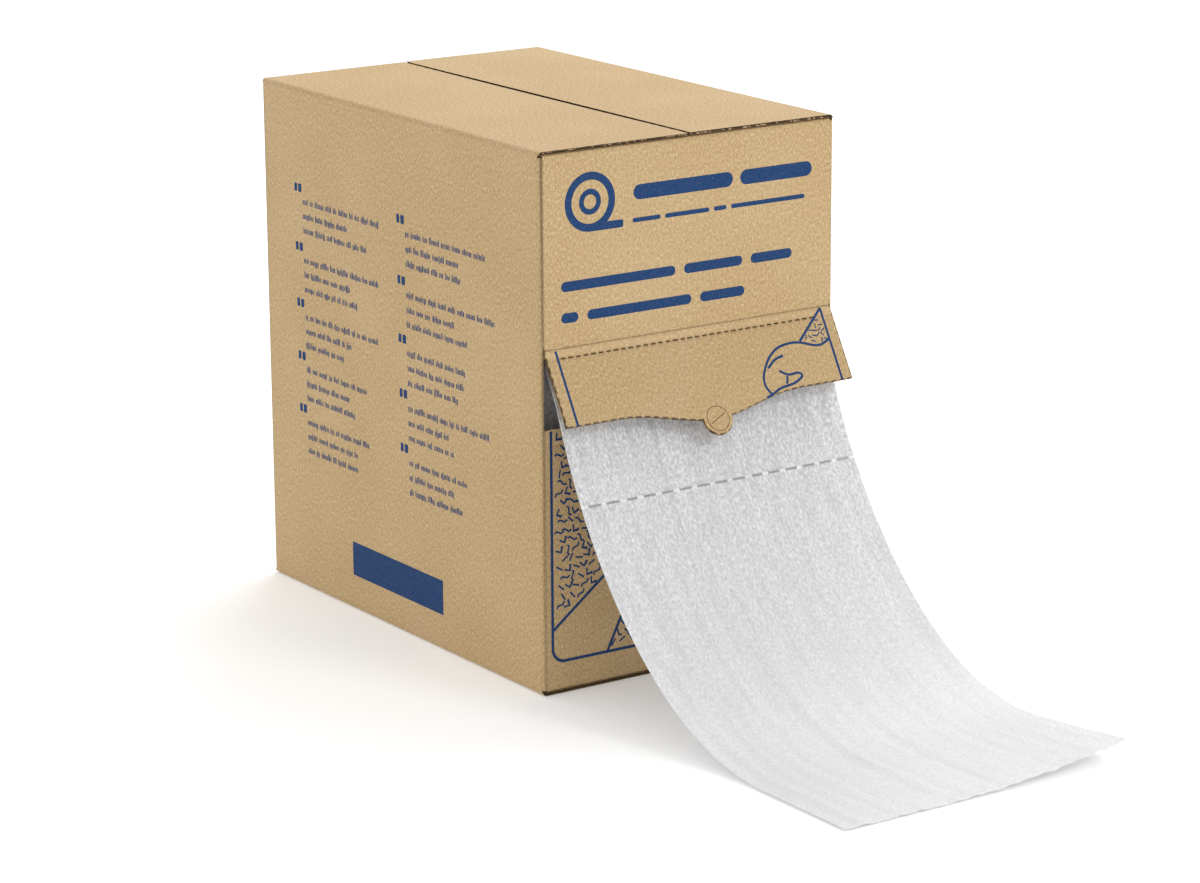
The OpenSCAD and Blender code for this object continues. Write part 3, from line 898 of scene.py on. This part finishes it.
# %% Roll
_, roll_high = (np.array(c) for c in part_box("foam_roll"))
core_low, core_high = (np.array(c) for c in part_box("roll_core"))
FILM_HALF_W = core_high[0]
ROLL_Z = (core_low[2] + core_high[2]) / 2
ROLL_R = roll_high[1]
CORE_R = core_high[1]
TURN_BAND, TURN_GAP, TURN_DEPTH, TURN_STRAY = 2.4 * MM, 0.3 * MM, 0.8 * MM, 0.7 * MM
AROUND = 128


def end_profile(side):
    """Distance along the axis and radius over one end of the roll, from the bore to the rim."""
    inner = np.arange(CORE_R + 0.3 * MM, ROLL_R - TURN_BAND, TURN_BAND)
    stray = FILM_HALF_W - TURN_STRAY * rng.random(len(inner))
    rows = [(CORE_R + 0.2 * MM, 0.0)]
    for radius, reach in zip(inner, stray):
        rows += [(radius, reach - TURN_DEPTH), (radius + TURN_GAP, reach),
                 (radius + TURN_BAND - TURN_GAP, reach)]
    rows += [(ROLL_R - 1.2 * MM, FILM_HALF_W), (ROLL_R - 0.3 * MM, FILM_HALF_W - 0.3 * MM)]
    return np.array(rows)[:, ::-1] * [side, 1]


def wound_roll():
    left, right = end_profile(-1), end_profile(1)
    across = np.linspace(-FILM_HALF_W + MM, FILM_HALF_W - MM, 31)
    barrel = np.stack([across, ROLL_R - 0.25 * MM * (1 + np.sin(across * 240) * np.sin(across * 61))], 1)
    profile = np.concatenate([left, barrel, right[::-1]])
    angle = np.linspace(0, 2 * np.pi, AROUND, endpoint=False)
    radius, x = profile[:, 1], profile[:, 0]
    y = np.outer(np.cos(angle), radius)
    z = ROLL_Z + np.outer(np.sin(angle), radius)
    z = np.maximum(z, BOARD + 0.1 * MM)
    corners = np.stack([np.broadcast_to(x, y.shape), y, z], 2)
    at = np.arange(y.size).reshape(y.shape)
    nxt, rows = np.roll(at, -1, 0), y.shape[1]
    faces = np.stack([at, nxt, np.roll(nxt, -1, 1), np.roll(at, -1, 1)], 2).reshape(-1, 4)
    mesh = bpy.data.meshes.new("film_turns")
    mesh.from_pydata(corners.reshape(-1, 3).tolist(), [], faces.tolist())
    walked = np.concatenate([[0], np.cumsum(np.hypot(np.diff(x), np.diff(radius)))])
    flat = np.stack([np.broadcast_to(walked, y.shape), angle[:, None] * ROLL_R * np.ones(rows),
                     np.zeros(y.shape)], 2)
    layer = mesh.attributes.new("blank", "FLOAT_VECTOR", "POINT")
    layer.data.foreach_set("vector", flat.astype(np.float32).ravel())
    mesh.materials.append(foam_wound)
    mesh.shade_smooth()
    mesh.set_sharp_from_angle(angle=math.radians(40))
    turns = bpy.data.objects.new("film_turns", mesh)
    bpy.context.scene.collection.objects.link(turns)
    print(f"film_turns: {len(mesh.polygons)} faces")
    return turns


turns = wound_roll()
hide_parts("foam_roll")
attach(turns, "carton")

# %% [markdown]
# ## The core
# The core is a tube wound from strips of grey board, so its finish has a seam that climbs round it like a
# screw thread. The construction model's tube has the right shape and keeps its place.

# %% Core finish
CORE_BOARD, CORE_SEAM = (0.42, 0.31, 0.20), (0.22, 0.15, 0.09)
SEAM_PITCH = 90 * MM


def core_finish():
    finish, tree, shader = new_finish("core_board", 0.85, 0.2)
    place = add_node(tree, "ShaderNodeTexCoord").outputs["Object"]
    x, y, z = add_node(tree, "ShaderNodeSeparateXYZ", Vector=place).outputs
    turn = maths(tree, "ARCTAN2", maths(tree, "SUBTRACT", z, ROLL_Z), y)
    climb = maths(tree, "SUBTRACT", maths(tree, "MULTIPLY", x, 2 * math.pi / SEAM_PITCH), turn)
    seam = spread(tree, maths(tree, "COSINE", climb), 0.985, 0.998)
    fibres = noise(tree, stretched(tree, place, (900, 300, 300)), 1.0, 4.0, 0.6)
    colour = mix_colours(tree, spread(tree, fibres, 0.35, 0.7, 0.0, 0.6), CORE_BOARD, KRAFT_DARK)
    colour = mix_colours(tree, maths(tree, "MULTIPLY", seam, 0.7), colour, CORE_SEAM)
    tree.links.new(colour, shader.inputs["Base Color"])
    height = maths(tree, "SUBTRACT", maths(tree, "MULTIPLY", fibres, 0.4), seam)
    bump = add_node(tree, "ShaderNodeBump", Height=height, Strength=0.5, Distance=0.3 * MM)
    tree.links.new(bump.outputs["Normal"], shader.inputs["Normal"])
    return finish


core = frame["nodes"]["roll_core"]
core.data.materials.clear()
core.data.materials.append(core_finish())
print("core finished")

# %% [markdown]
# ## The pulled-out film
# From the roll the film runs down and out through the opening, hangs in a long curve and ends flat on the
# floor. Two smooth curves that meet at the steepest place give its line, as in the construction
# model. The free end could be simulated as cloth, but a sheet that hangs in one curve and has next to no
# stiffness across it is settled by that line. Ripples run lengthwise, hardly there at the
# opening and plain at the free end, where one corner stays up off the floor.

# %% Line of the film
FILM_T = 1 * MM
LEAVE_ANGLE, STEEP_ANGLE = math.radians(50), math.radians(21)
ROOT_DEPTH = 0.8 * MM
STEEP_OUT, STEEP_DROP = 17 * MM, 69.5 * MM
LANDING, REACH = 315 * MM, 425 * MM
PULLS = (100 * MM, 70 * MM, 98 * MM, 160 * MM)
TEAR_OFF, TEAR_LEN, TEAR_W, TEAR_PITCH, TEARS = 450 * MM, 12 * MM, 0.25 * MM, 19.5 * MM, 15
TEAR_RIM = 1.6 * MM


def cubic(a, b, c, d, steps=60):
    t = np.linspace(0, 1, steps + 1)[:, None]
    return (1 - t) ** 3 * a + 3 * (1 - t) ** 2 * t * b + 3 * (1 - t) * t ** 2 * c + t ** 3 * d


def down(angle):
    """A direction down and forward, at an angle from the vertical."""
    return np.array([-math.sin(angle), -math.cos(angle)])


def film_line():
    """The film's middle line in Y and Z, from the roll to the free end, and its length along it."""
    outwards = np.array([-math.cos(LEAVE_ANGLE), math.sin(LEAVE_ANGLE)])
    leave = np.array([0, ROLL_Z]) + (ROLL_R - ROOT_DEPTH) * outwards
    steep = np.array([-HALF_D - STEEP_OUT, CREASE_Z - STEEP_DROP])
    landing = np.array([-HALF_D - LANDING, FILM_T / 2])
    line = np.concatenate([
        cubic(leave, leave + PULLS[0] * down(LEAVE_ANGLE), steep - PULLS[1] * down(STEEP_ANGLE), steep),
        cubic(steep, steep + PULLS[2] * down(STEEP_ANGLE), landing + [PULLS[3], 0], landing)[1:],
        [[-HALF_D - REACH, FILM_T / 2]]])
    return line, np.concatenate([[0], np.cumsum(np.hypot(*np.diff(line, axis=0).T))])


line, walked = film_line()
FILM_LENGTH = walked[-1]
print(f"pulled-out film: {FILM_LENGTH / MM:.0f} mm from the roll")

# %% Pulled-out film
RIPPLES = ((19 * MM, 0.8 * MM, 0.4), (31 * MM, 0.5 * MM, 2.1), (60 * MM, 0.8 * MM, 4.0))
CORNER_LIFT, LIFT_FROM, LIFT_LENGTH = 17 * MM, -40 * MM, 230 * MM
TORN = 0.5 * MM


def film_offset(x, s):
    """How far the film lies off its line, outwards, at each place."""
    free = np.clip((s - 0.42 * FILM_LENGTH) / (0.4 * FILM_LENGTH), 0, 1)
    ripple = np.zeros(np.broadcast_shapes(x.shape, s.shape))
    for width, height, phase in RIPPLES:
        wander = 0.5 * np.sin(s * 9 + phase) + 0.25 * np.sin(s * 23 + 2 * phase)
        ripple = ripple + height * (1 + np.sin(2 * np.pi * x / width + phase + wander)) / 2
    to_end = np.clip(1 - (FILM_LENGTH - s) / LIFT_LENGTH, 0, 1)
    to_side = np.clip((x - LIFT_FROM) / (FILM_HALF_W - LIFT_FROM), 0, 1)
    return ripple * free ** 1.5 + CORNER_LIFT * (to_end ** 1.6) * (to_side ** 1.8)


def pulled_film():
    tear_at = FILM_LENGTH - TEAR_OFF
    before, after = tear_at - TEAR_W / 2, tear_at + TEAR_W / 2
    rows = merged(np.linspace(0, before - 2 * TEAR_RIM, 84),
                  np.linspace(after + 2 * TEAR_RIM, FILM_LENGTH, 142),
                  before - TEAR_RIM, before - TEAR_RIM / 2, before,
                  after, after + TEAR_RIM / 2, after + TEAR_RIM)
    tears = (np.arange(TEARS) - (TEARS - 1) / 2) * TEAR_PITCH
    ends = np.concatenate([tears - TEAR_LEN / 2, tears + TEAR_LEN / 2])
    columns = merged(np.linspace(-FILM_HALF_W, FILM_HALF_W, 111), ends, apart=0.4 * MM)
    bridge = np.abs(((columns / TEAR_PITCH + 0.5) % 1) - 0.5) > TEAR_LEN / TEAR_PITCH / 2
    torn = np.where(bridge, TORN, 0) * (0.4 + 0.6 * rng.random(len(columns)))
    last = np.clip((rows - FILM_LENGTH + 12 * MM) / (12 * MM), 0, 1)
    s = rows[None, :] + (torn[:, None] - TORN) * last[None, :]
    y, z = np.interp(s, walked, line[:, 0]), np.interp(s, walked, line[:, 1])
    ahead, behind = np.minimum(s + MM, FILM_LENGTH), np.maximum(s - MM, 0)
    dy = np.interp(ahead, walked, line[:, 0]) - np.interp(behind, walked, line[:, 0])
    dz = np.interp(ahead, walked, line[:, 1]) - np.interp(behind, walked, line[:, 1])
    length = np.hypot(dy, dz)
    normals = np.stack([np.zeros(s.shape), dz / length, -dy / length], 2)
    x = np.broadcast_to(columns[:, None], s.shape)
    lift = film_offset(x, s)
    points = np.stack([x, y, z], 2) + normals * (lift + FILM_T / 2)[..., None]
    middle = (columns[1:] + columns[:-1]) / 2
    keep = np.ones((len(columns) - 1, len(rows) - 1), bool)
    slit = np.abs(middle[:, None] - tears[None, :]).min(1) < TEAR_LEN / 2
    keep[slit, np.searchsorted(rows, tear_at) - 1] = False
    # Painted shade round each slit of the perforation, and painted lighter film between the slits.
    at_slit = np.abs(columns[:, None] - tears[None, :]).min(1) < TEAR_LEN / 2 + 0.1 * MM
    near = np.clip(1.6 - 1.6 * (np.abs(rows - tear_at) - TEAR_W / 2) / TEAR_RIM, 0, 1)
    wear = near * np.where(at_slit, 0.9, -0.5)[:, None]
    sheet = Sheetwork()
    sheet.add(points, normals, np.stack([x, s], 2), 0.0, FILM_T, keep, wear)
    return sheet.build("film_web", foam)


web = pulled_film()
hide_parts("foam_roll")
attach(web, "carton")

# %% [markdown]
# ## Print
# The carton is printed in one dark blue. Ink has no thickness that one can see, but a shape that lies a few
# hundredths of a millimetre over the paper takes the light as print does, keeps a sharp edge at any distance
# and is in the mesh too. Every mark is a closed flat shape, drawn in the plane of its panel from a few
# rules: bars, rings and strokes. Rows of plain strokes and bars stand as a designer
# sets dummy text, and two rings stand for a roll.

# %% Ink finish
INK, INK_WORN = (0.007, 0.042, 0.142), (0.030, 0.075, 0.175)
PROUD, SUNK = 0.06 * MM, 0.03 * MM
LAYER, LAYERS = 0.012 * MM, 5


def ink_finish():
    finish, tree, shader = new_finish("blue_ink", 0.7, 0.15)
    place = add_node(tree, "ShaderNodeTexCoord").outputs["Object"]
    patchy = noise(tree, place, 420.0, 5.0, 0.65)
    fibres = noise(tree, stretched(tree, place, (1500, 1500, 400)), 1.0, 3.0, 0.6)
    colour = mix_colours(tree, spread(tree, patchy, 0.4, 0.7, 0.0, 0.7), INK, INK_WORN)
    colour = mix_colours(tree, spread(tree, fibres, 0.58, 0.70, 0.0, 0.35), colour, KRAFT_DARK)
    tree.links.new(colour, shader.inputs["Base Color"])
    return finish


ink = ink_finish()


class Print:
    """Flat closed shapes on one panel. right and up are its directions, and out points off the paper."""

    def __init__(self, origin, right, up):
        self.origin, self.right, self.up = (np.array(v, float) for v in (origin, right, up))
        self.out = np.cross(self.right, self.up)
        self.corners, self.faces = [], []

    def shape(self, outline):
        """A closed shape from its outline, in metres on the panel."""
        flat = np.asarray(outline, float)
        x, y = flat.T
        if (x * np.roll(y, -1) - y * np.roll(x, -1)).sum() < 0:
            flat = flat[::-1]
        places = self.origin + flat[:, :1] * self.right + flat[:, 1:] * self.up
        first, count = sum(len(c) for c in self.corners), len(flat)
        proud = PROUD + LAYER * (len(self.corners) // 2 % LAYERS)
        self.corners += [places + self.out * proud, places - self.out * SUNK]
        upper, lower = range(first, first + count), range(first + count, first + 2 * count)
        self.faces += [list(upper), list(lower)[::-1]]
        self.faces += [[lower[k - 1], lower[k], upper[k], upper[k - 1]] for k in range(count)]

    def bar(self, x0, y0, x1, y1, radius=0.0):
        """A rectangle, with round corners if there is a radius."""
        self.shape(rounded(x0, y0, x1, y1, min(radius, (x1 - x0) / 2, (y1 - y0) / 2)))

    def stroke(self, points, width):
        """A line of even width along points, in short closed pieces that meet at each point."""
        points = np.asarray(points, float)
        ahead = np.diff(points, axis=0)
        ahead /= np.linalg.norm(ahead, axis=1)[:, None]
        mean = np.concatenate([ahead[:1], ahead[1:] + ahead[:-1], ahead[-1:]])
        mean /= np.linalg.norm(mean, axis=1)[:, None]
        side = np.stack([-mean[:, 1], mean[:, 0]], 1)
        stretch = 1 / np.maximum((mean[:-1] * ahead).sum(1), 0.5)
        side *= (width / 2 * np.concatenate([stretch, stretch[-1:]]))[:, None]
        self.shape(np.concatenate([points + side, (points - side)[::-1]]))

    def ring(self, x, y, radius, width, steps=48):
        """A ring as two half rings."""
        for half in (0, math.pi):
            angle = half + np.linspace(0, math.pi, steps // 2 + 1)
            arc = np.stack([np.cos(angle), np.sin(angle)], 1)
            outer, inner = arc * (radius + width / 2), arc * (radius - width / 2)
            self.shape(np.concatenate([outer, inner[::-1]]) + [x, y])

    def build(self, name, body, finish=ink):
        mesh = bpy.data.meshes.new(name)
        mesh.from_pydata(np.concatenate(self.corners).tolist(), [], self.faces)
        mesh.materials.append(finish)
        made = bpy.data.objects.new(name, mesh)
        bpy.context.scene.collection.objects.link(made)
        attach(made, body)
        print(f"{name}: {len(mesh.polygons)} faces")
        return made


def rounded(x0, y0, x1, y1, radius, steps=5):
    if radius <= 0:
        return [(x0, y0), (x1, y0), (x1, y1), (x0, y1)]
    corners = ((x1 - radius, y0 + radius, -90), (x1 - radius, y1 - radius, 0),
               (x0 + radius, y1 - radius, 90), (x0 + radius, y0 + radius, 180))
    return [(x + radius * math.cos(math.radians(start + 90 * k / steps)),
             y + radius * math.sin(math.radians(start + 90 * k / steps)))
            for x, y, start in corners for k in range(steps + 1)]


# %% [markdown]
# ## Print on the front
# Above the flap stand a round mark, two long bars with a thin line of strokes under them, and two lines of
# bars. Below it a frame with round corners holds a drawing of the foam, as loose short strokes in three
# shapes: a tick, a chevron and a wave.

# %% Front print
front = Print((0, -HALF_D, 0), (1, 0, 0), (0, 0, 1))
ROLL_MARK = (-107 * MM, 443 * MM)
for radius, width in ((23 * MM, 7 * MM), (9 * MM, 5 * MM)):
    front.ring(*ROLL_MARK, radius, width)
front.bar(ROLL_MARK[0], ROLL_MARK[1] - 26.5 * MM, -72 * MM, ROLL_MARK[1] - 19.5 * MM, 2 * MM)


def dummy_words(sheet, x, y, height, words, gap):
    """A row of bars with round ends, one for each word's length."""
    for length in words:
        sheet.bar(x, y, x + length, y + height, height / 2)
        x += length + gap


dummy_words(front, -61 * MM, 439 * MM, 13.5 * MM, (108 * MM, 80 * MM), 8 * MM)
dummy_words(front, -62 * MM, 419 * MM, 4 * MM, (30 * MM, 48 * MM, 14 * MM, 82 * MM), 5 * MM)
dummy_words(front, -138 * MM, 366 * MM, 9 * MM, (122 * MM, 64 * MM, 46 * MM), 9.5 * MM)
dummy_words(front, -138 * MM, 338 * MM, 9 * MM, (18 * MM, 112 * MM, 49 * MM), 9.5 * MM)

FRAME_X, FRAME_TOP, FRAME_LOW, FRAME_CORNER, FRAME_W = 150 * MM, 243 * MM, 30 * MM, 13 * MM, 2.8 * MM
for side in (-1, 1):
    turn = np.radians(np.linspace(180, 270, 9))
    centre = [FRAME_CORNER - FRAME_X, FRAME_LOW + FRAME_CORNER]
    corner = np.stack([np.cos(turn), np.sin(turn)], 1) * FRAME_CORNER + centre
    half = np.concatenate([[(-FRAME_X, FRAME_TOP)], corner, [(0, FRAME_LOW)]])
    front.stroke(half * [side, 1], FRAME_W)

DOODLE = {"tick": ((-4, -1), (4, 1)), "chevron": ((-4, 3), (0, -2.5), (4.5, 2)),
          "wave": ((-5.5, 1), (-3, 2.2), (-0.5, 0.5), (2, -1.6), (5.5, -0.6))}
doodles = list(DOODLE.values())


def foam_doodles(sheet, inside, x0, x1, y0, y1, step=8.6 * MM, width=1.7 * MM, scale=0.92, kinds=3):
    """Short strokes on a loose grid, wherever inside says so."""
    for row, y in enumerate(np.arange(y0 + step / 2, y1, step)):
        for x in np.arange(x0 + step / 2 * (1 + row % 2), x1, step):
            spot = np.array([x, y]) + (rng.random(2) - 0.5) * 0.3 * step
            angle, kind = rng.uniform(-1.3, 1.3), int(rng.integers(kinds))
            if not inside(*spot):
                continue
            turn = np.array([[math.cos(angle), -math.sin(angle)], [math.sin(angle), math.cos(angle)]])
            sheet.stroke(spot + (np.array(doodles[kind]) * MM * scale) @ turn.T, width)


SLOPE = (103 - 60) / (149 - 93)
front.stroke([(-149 * MM, 60 * MM), (-93 * MM, 103 * MM), (-20 * MM, 159 * MM)], FRAME_W)
front.stroke([(-91 * MM, 31 * MM), (-60 * MM, 93 * MM), (-20 * MM, 120 * MM)], FRAME_W)
foam_doodles(front, lambda x, y: y > 66 * MM + (x + 149 * MM) * SLOPE,
             -146 * MM, -22 * MM, 60 * MM, 240 * MM)
foam_doodles(front, lambda x, y: y < 16 * MM + (x + 98 * MM) * 2 and y < 83 * MM + (x + 60 * MM) * 0.67,
             -88 * MM, 120 * MM, 34 * MM, 118 * MM)
front_print = front.build("front_print", "carton")

# %% [markdown]
# ## Print on the sides
# Both sides carry the same: two columns of small dummy text and a solid bar below them. Small text is a row
# of upright strokes of uneven height, which from a distance has the grey of print but no letters in it.

# %% Side print
HEADING_Z = (393 * MM, 336 * MM, 281 * MM, 229 * MM, 177 * MM)
COLUMN_AT = (-182 * MM, 3 * MM)
LINE_PITCH, TEXT_H = 14 * MM, 6 * MM
STROKE_SHARES = (0.66, 0.70, 0.74, 1.0)
STROKE_GAP, WORD_GAP = 0.9 * MM, 2.8 * MM


def dummy_line(sheet, x, y, length, height):
    """Small dummy text: plain upright strokes of uneven width and height, in groups."""
    end = x + length
    while x < end:
        for _ in range(int(rng.integers(3, 10))):
            width = rng.uniform(0.8, 1.8) * MM
            below = 0.2 * height * (rng.random() < 0.12)
            sheet.bar(x, y - below, x + width, y + height * rng.choice(STROKE_SHARES))
            x += width + STROKE_GAP
        x += WORD_GAP


def side_print(name, right, wall_x):
    sheet = Print((wall_x, 0, 0), right, (0, 0, 1))
    for start in COLUMN_AT:
        for z in HEADING_Z:
            sheet.bar(start, z - 1 * MM, start + 5 * MM, z + 7 * MM, MM)
            sheet.bar(start + 7 * MM, z - 1 * MM, start + 13 * MM, z + 7 * MM, MM)
            for row, length in enumerate(rng.uniform((95, 55, 60), (135, 95, 110)) * MM):
                dummy_line(sheet, start + 15 * MM, z - (row + 1) * LINE_PITCH + 2 * MM, length, TEXT_H)
    sheet.bar(-88 * MM, 34 * MM, 73 * MM, 67 * MM)
    return sheet.build(name, "carton")


side_print("left_print", (0, -1, 0), -HALF_W)
side_print("right_print", (0, 1, 0), HALF_W)

# %% [markdown]
# ## Print on the flap
# The frame's side lines run on over the flap. At its right is a corner of foam, and the outline of a hand
# that takes hold of it: four knuckles, a thumb and a cuff in a few strokes.

# %% Flap print
tilt = math.radians(FLAP_OPEN)
flap_sheet = Print((0, -HALF_D, CREASE_Z), (1, 0, 0), (0, math.sin(tilt), math.cos(tilt)))
LINE_X = 145 * MM
for side in (-1, 1):
    flap_sheet.stroke([(side * LINE_X, -1.5 * MM), (side * LINE_X, -FLAP_LEN)], 2.4 * MM)
flap_sheet.stroke([(LINE_X, -1.5 * MM), (112 * MM, -29 * MM)], 2.4 * MM)
foam_doodles(flap_sheet, lambda x, y: -31 * MM < y < -5 * MM - (LINE_X - x) * 0.85 and x < LINE_X - 3 * MM,
             108 * MM, LINE_X, -38 * MM, -4 * MM, 4.8 * MM, 1.2 * MM, 0.56, 1)


def rounded_line(points, rounds=3):
    """The line through points with its corners cut off again and again, which rounds them."""
    p = np.array(points, float) * MM
    for _ in range(rounds):
        near, far = 0.78 * p[:-1] + 0.22 * p[1:], 0.22 * p[:-1] + 0.78 * p[1:]
        p = np.concatenate([p[:1], np.stack([near, far], 1).reshape(-1, 2)[1:-1], p[-1:]])
    return p


HAND = (((145, -31), (131, -37), (108, -28.5), (86, -30.5), (72, -40), (61, -55), (60, -66), (65, -73.5)),
        ((58, -75.5), (65, -73.5), (76, -68.5), (92, -67), (104, -61.5), (101, -57), (88, -58.5), (80, -53)),
        ((69, -49), (78, -42), (89, -39.5)), ((84, -66), (87, -59)))
for points in HAND:
    flap_sheet.stroke(rounded_line(points), 2.3 * MM)
flap_sheet.build("flap_print", "front_flap")

# %% [markdown]
# ## Scored lines on the tab
# A ring and a slit for a finger are scored into the tab. They are only as wide as the knife, and their dark
# is painted shade inside the open cuts. Lines this fine need a sharper edge than the flap's own grid can give,
# so they are drawn as the print is, in a finish of painted shade.

# %% Scored lines
RING_R, RING_W = 11.5 * MM, 0.75 * MM
FINGER_HALF, FINGER_W, FINGER_TURN = 9.5 * MM, 0.8 * MM, math.radians(25)


def scored_cut_shade_finish():
    # Painted shade of the cuts, dark brown with fibres.
    finish, tree, shader = new_finish("scored_paper", 0.9, 0.1)
    place = add_node(tree, "ShaderNodeTexCoord").outputs["Object"]
    fibres = spread(tree, noise(tree, place, 700.0, 4.0), 0.3, 0.7)
    colour = mix_colours(tree, fibres, KRAFT_PAINTED_SHADE, KRAFT_DARK)
    tree.links.new(colour, shader.inputs["Base Color"])
    return finish


tab_y = -FLAP_LEN - FLAP_DIP
finger = FINGER_HALF * np.array([math.cos(FINGER_TURN), math.sin(FINGER_TURN)])
scores = Print((0, -HALF_D, CREASE_Z), (1, 0, 0), (0, math.sin(tilt), math.cos(tilt)))
scores.ring(0, tab_y, RING_R, RING_W)
scores.stroke([(0, tab_y) - finger, (0, tab_y) + finger], FINGER_W)
scores.build("tab_scores", "front_flap", scored_cut_shade_finish())

# %% [markdown]
# ## Floor and light
# The photograph was taken on a white sweep under very even light: the shade under the carton is soft, the
# lid is the brightest face and the left side the darkest. One large lamp above and behind on the right
# gives that order, a weak one lights the front from a little to the right, and a white world does the rest.

# %% Floor and lights
FLOOR_SIZE, FLOOR_GLOW = 12.0, 0.18


def plain_floor():
    mesh = bpy.data.meshes.new("floor")
    corner = FLOOR_SIZE / 2
    corners = [(-corner, -corner, 0), (corner, -corner, 0), (corner, corner, 0), (-corner, corner, 0)]
    mesh.from_pydata(corners, [], [(0, 1, 2, 3)])
    finish, _, shader = new_finish("floor_white", 0.9, 0.1)
    shader.inputs["Base Color"].default_value = (0.93, 0.93, 0.93, 1)
    shader.inputs["Emission Color"].default_value = (1, 1, 1, 1)
    shader.inputs["Emission Strength"].default_value = FLOOR_GLOW
    mesh.materials.append(finish)
    floor = bpy.data.objects.new("floor", mesh)
    floor.location.z = -0.0005
    bpy.context.scene.collection.objects.link(floor)


def soft_lamp(name, place, size, power):
    """A square lamp at that place, turned to the middle of the carton."""
    lamp = bpy.data.objects.new(name, bpy.data.lights.new(name, "AREA"))
    lamp.data.size, lamp.data.energy = size, power
    lamp.location = place
    lamp.rotation_euler = (Vector((0, 0, TOP / 2)) - lamp.location).to_track_quat("-Z", "Y").to_euler()
    bpy.context.scene.collection.objects.link(lamp)


plain_floor()
soft_lamp("key_light", (1.8, 1.3, 2.5), 2.2, 42)
soft_lamp("front_light", (0.9, -2.5, 2.0), 0.8, 15)
world = bpy.data.worlds.new("white_room")
world.use_nodes = True
world.node_tree.nodes["Background"].inputs["Color"].default_value = (1, 1, 1, 1)
world.node_tree.nodes["Background"].inputs["Strength"].default_value = 0.895
bpy.context.scene.world = world
bpy.context.scene.view_settings.view_transform = "Standard"
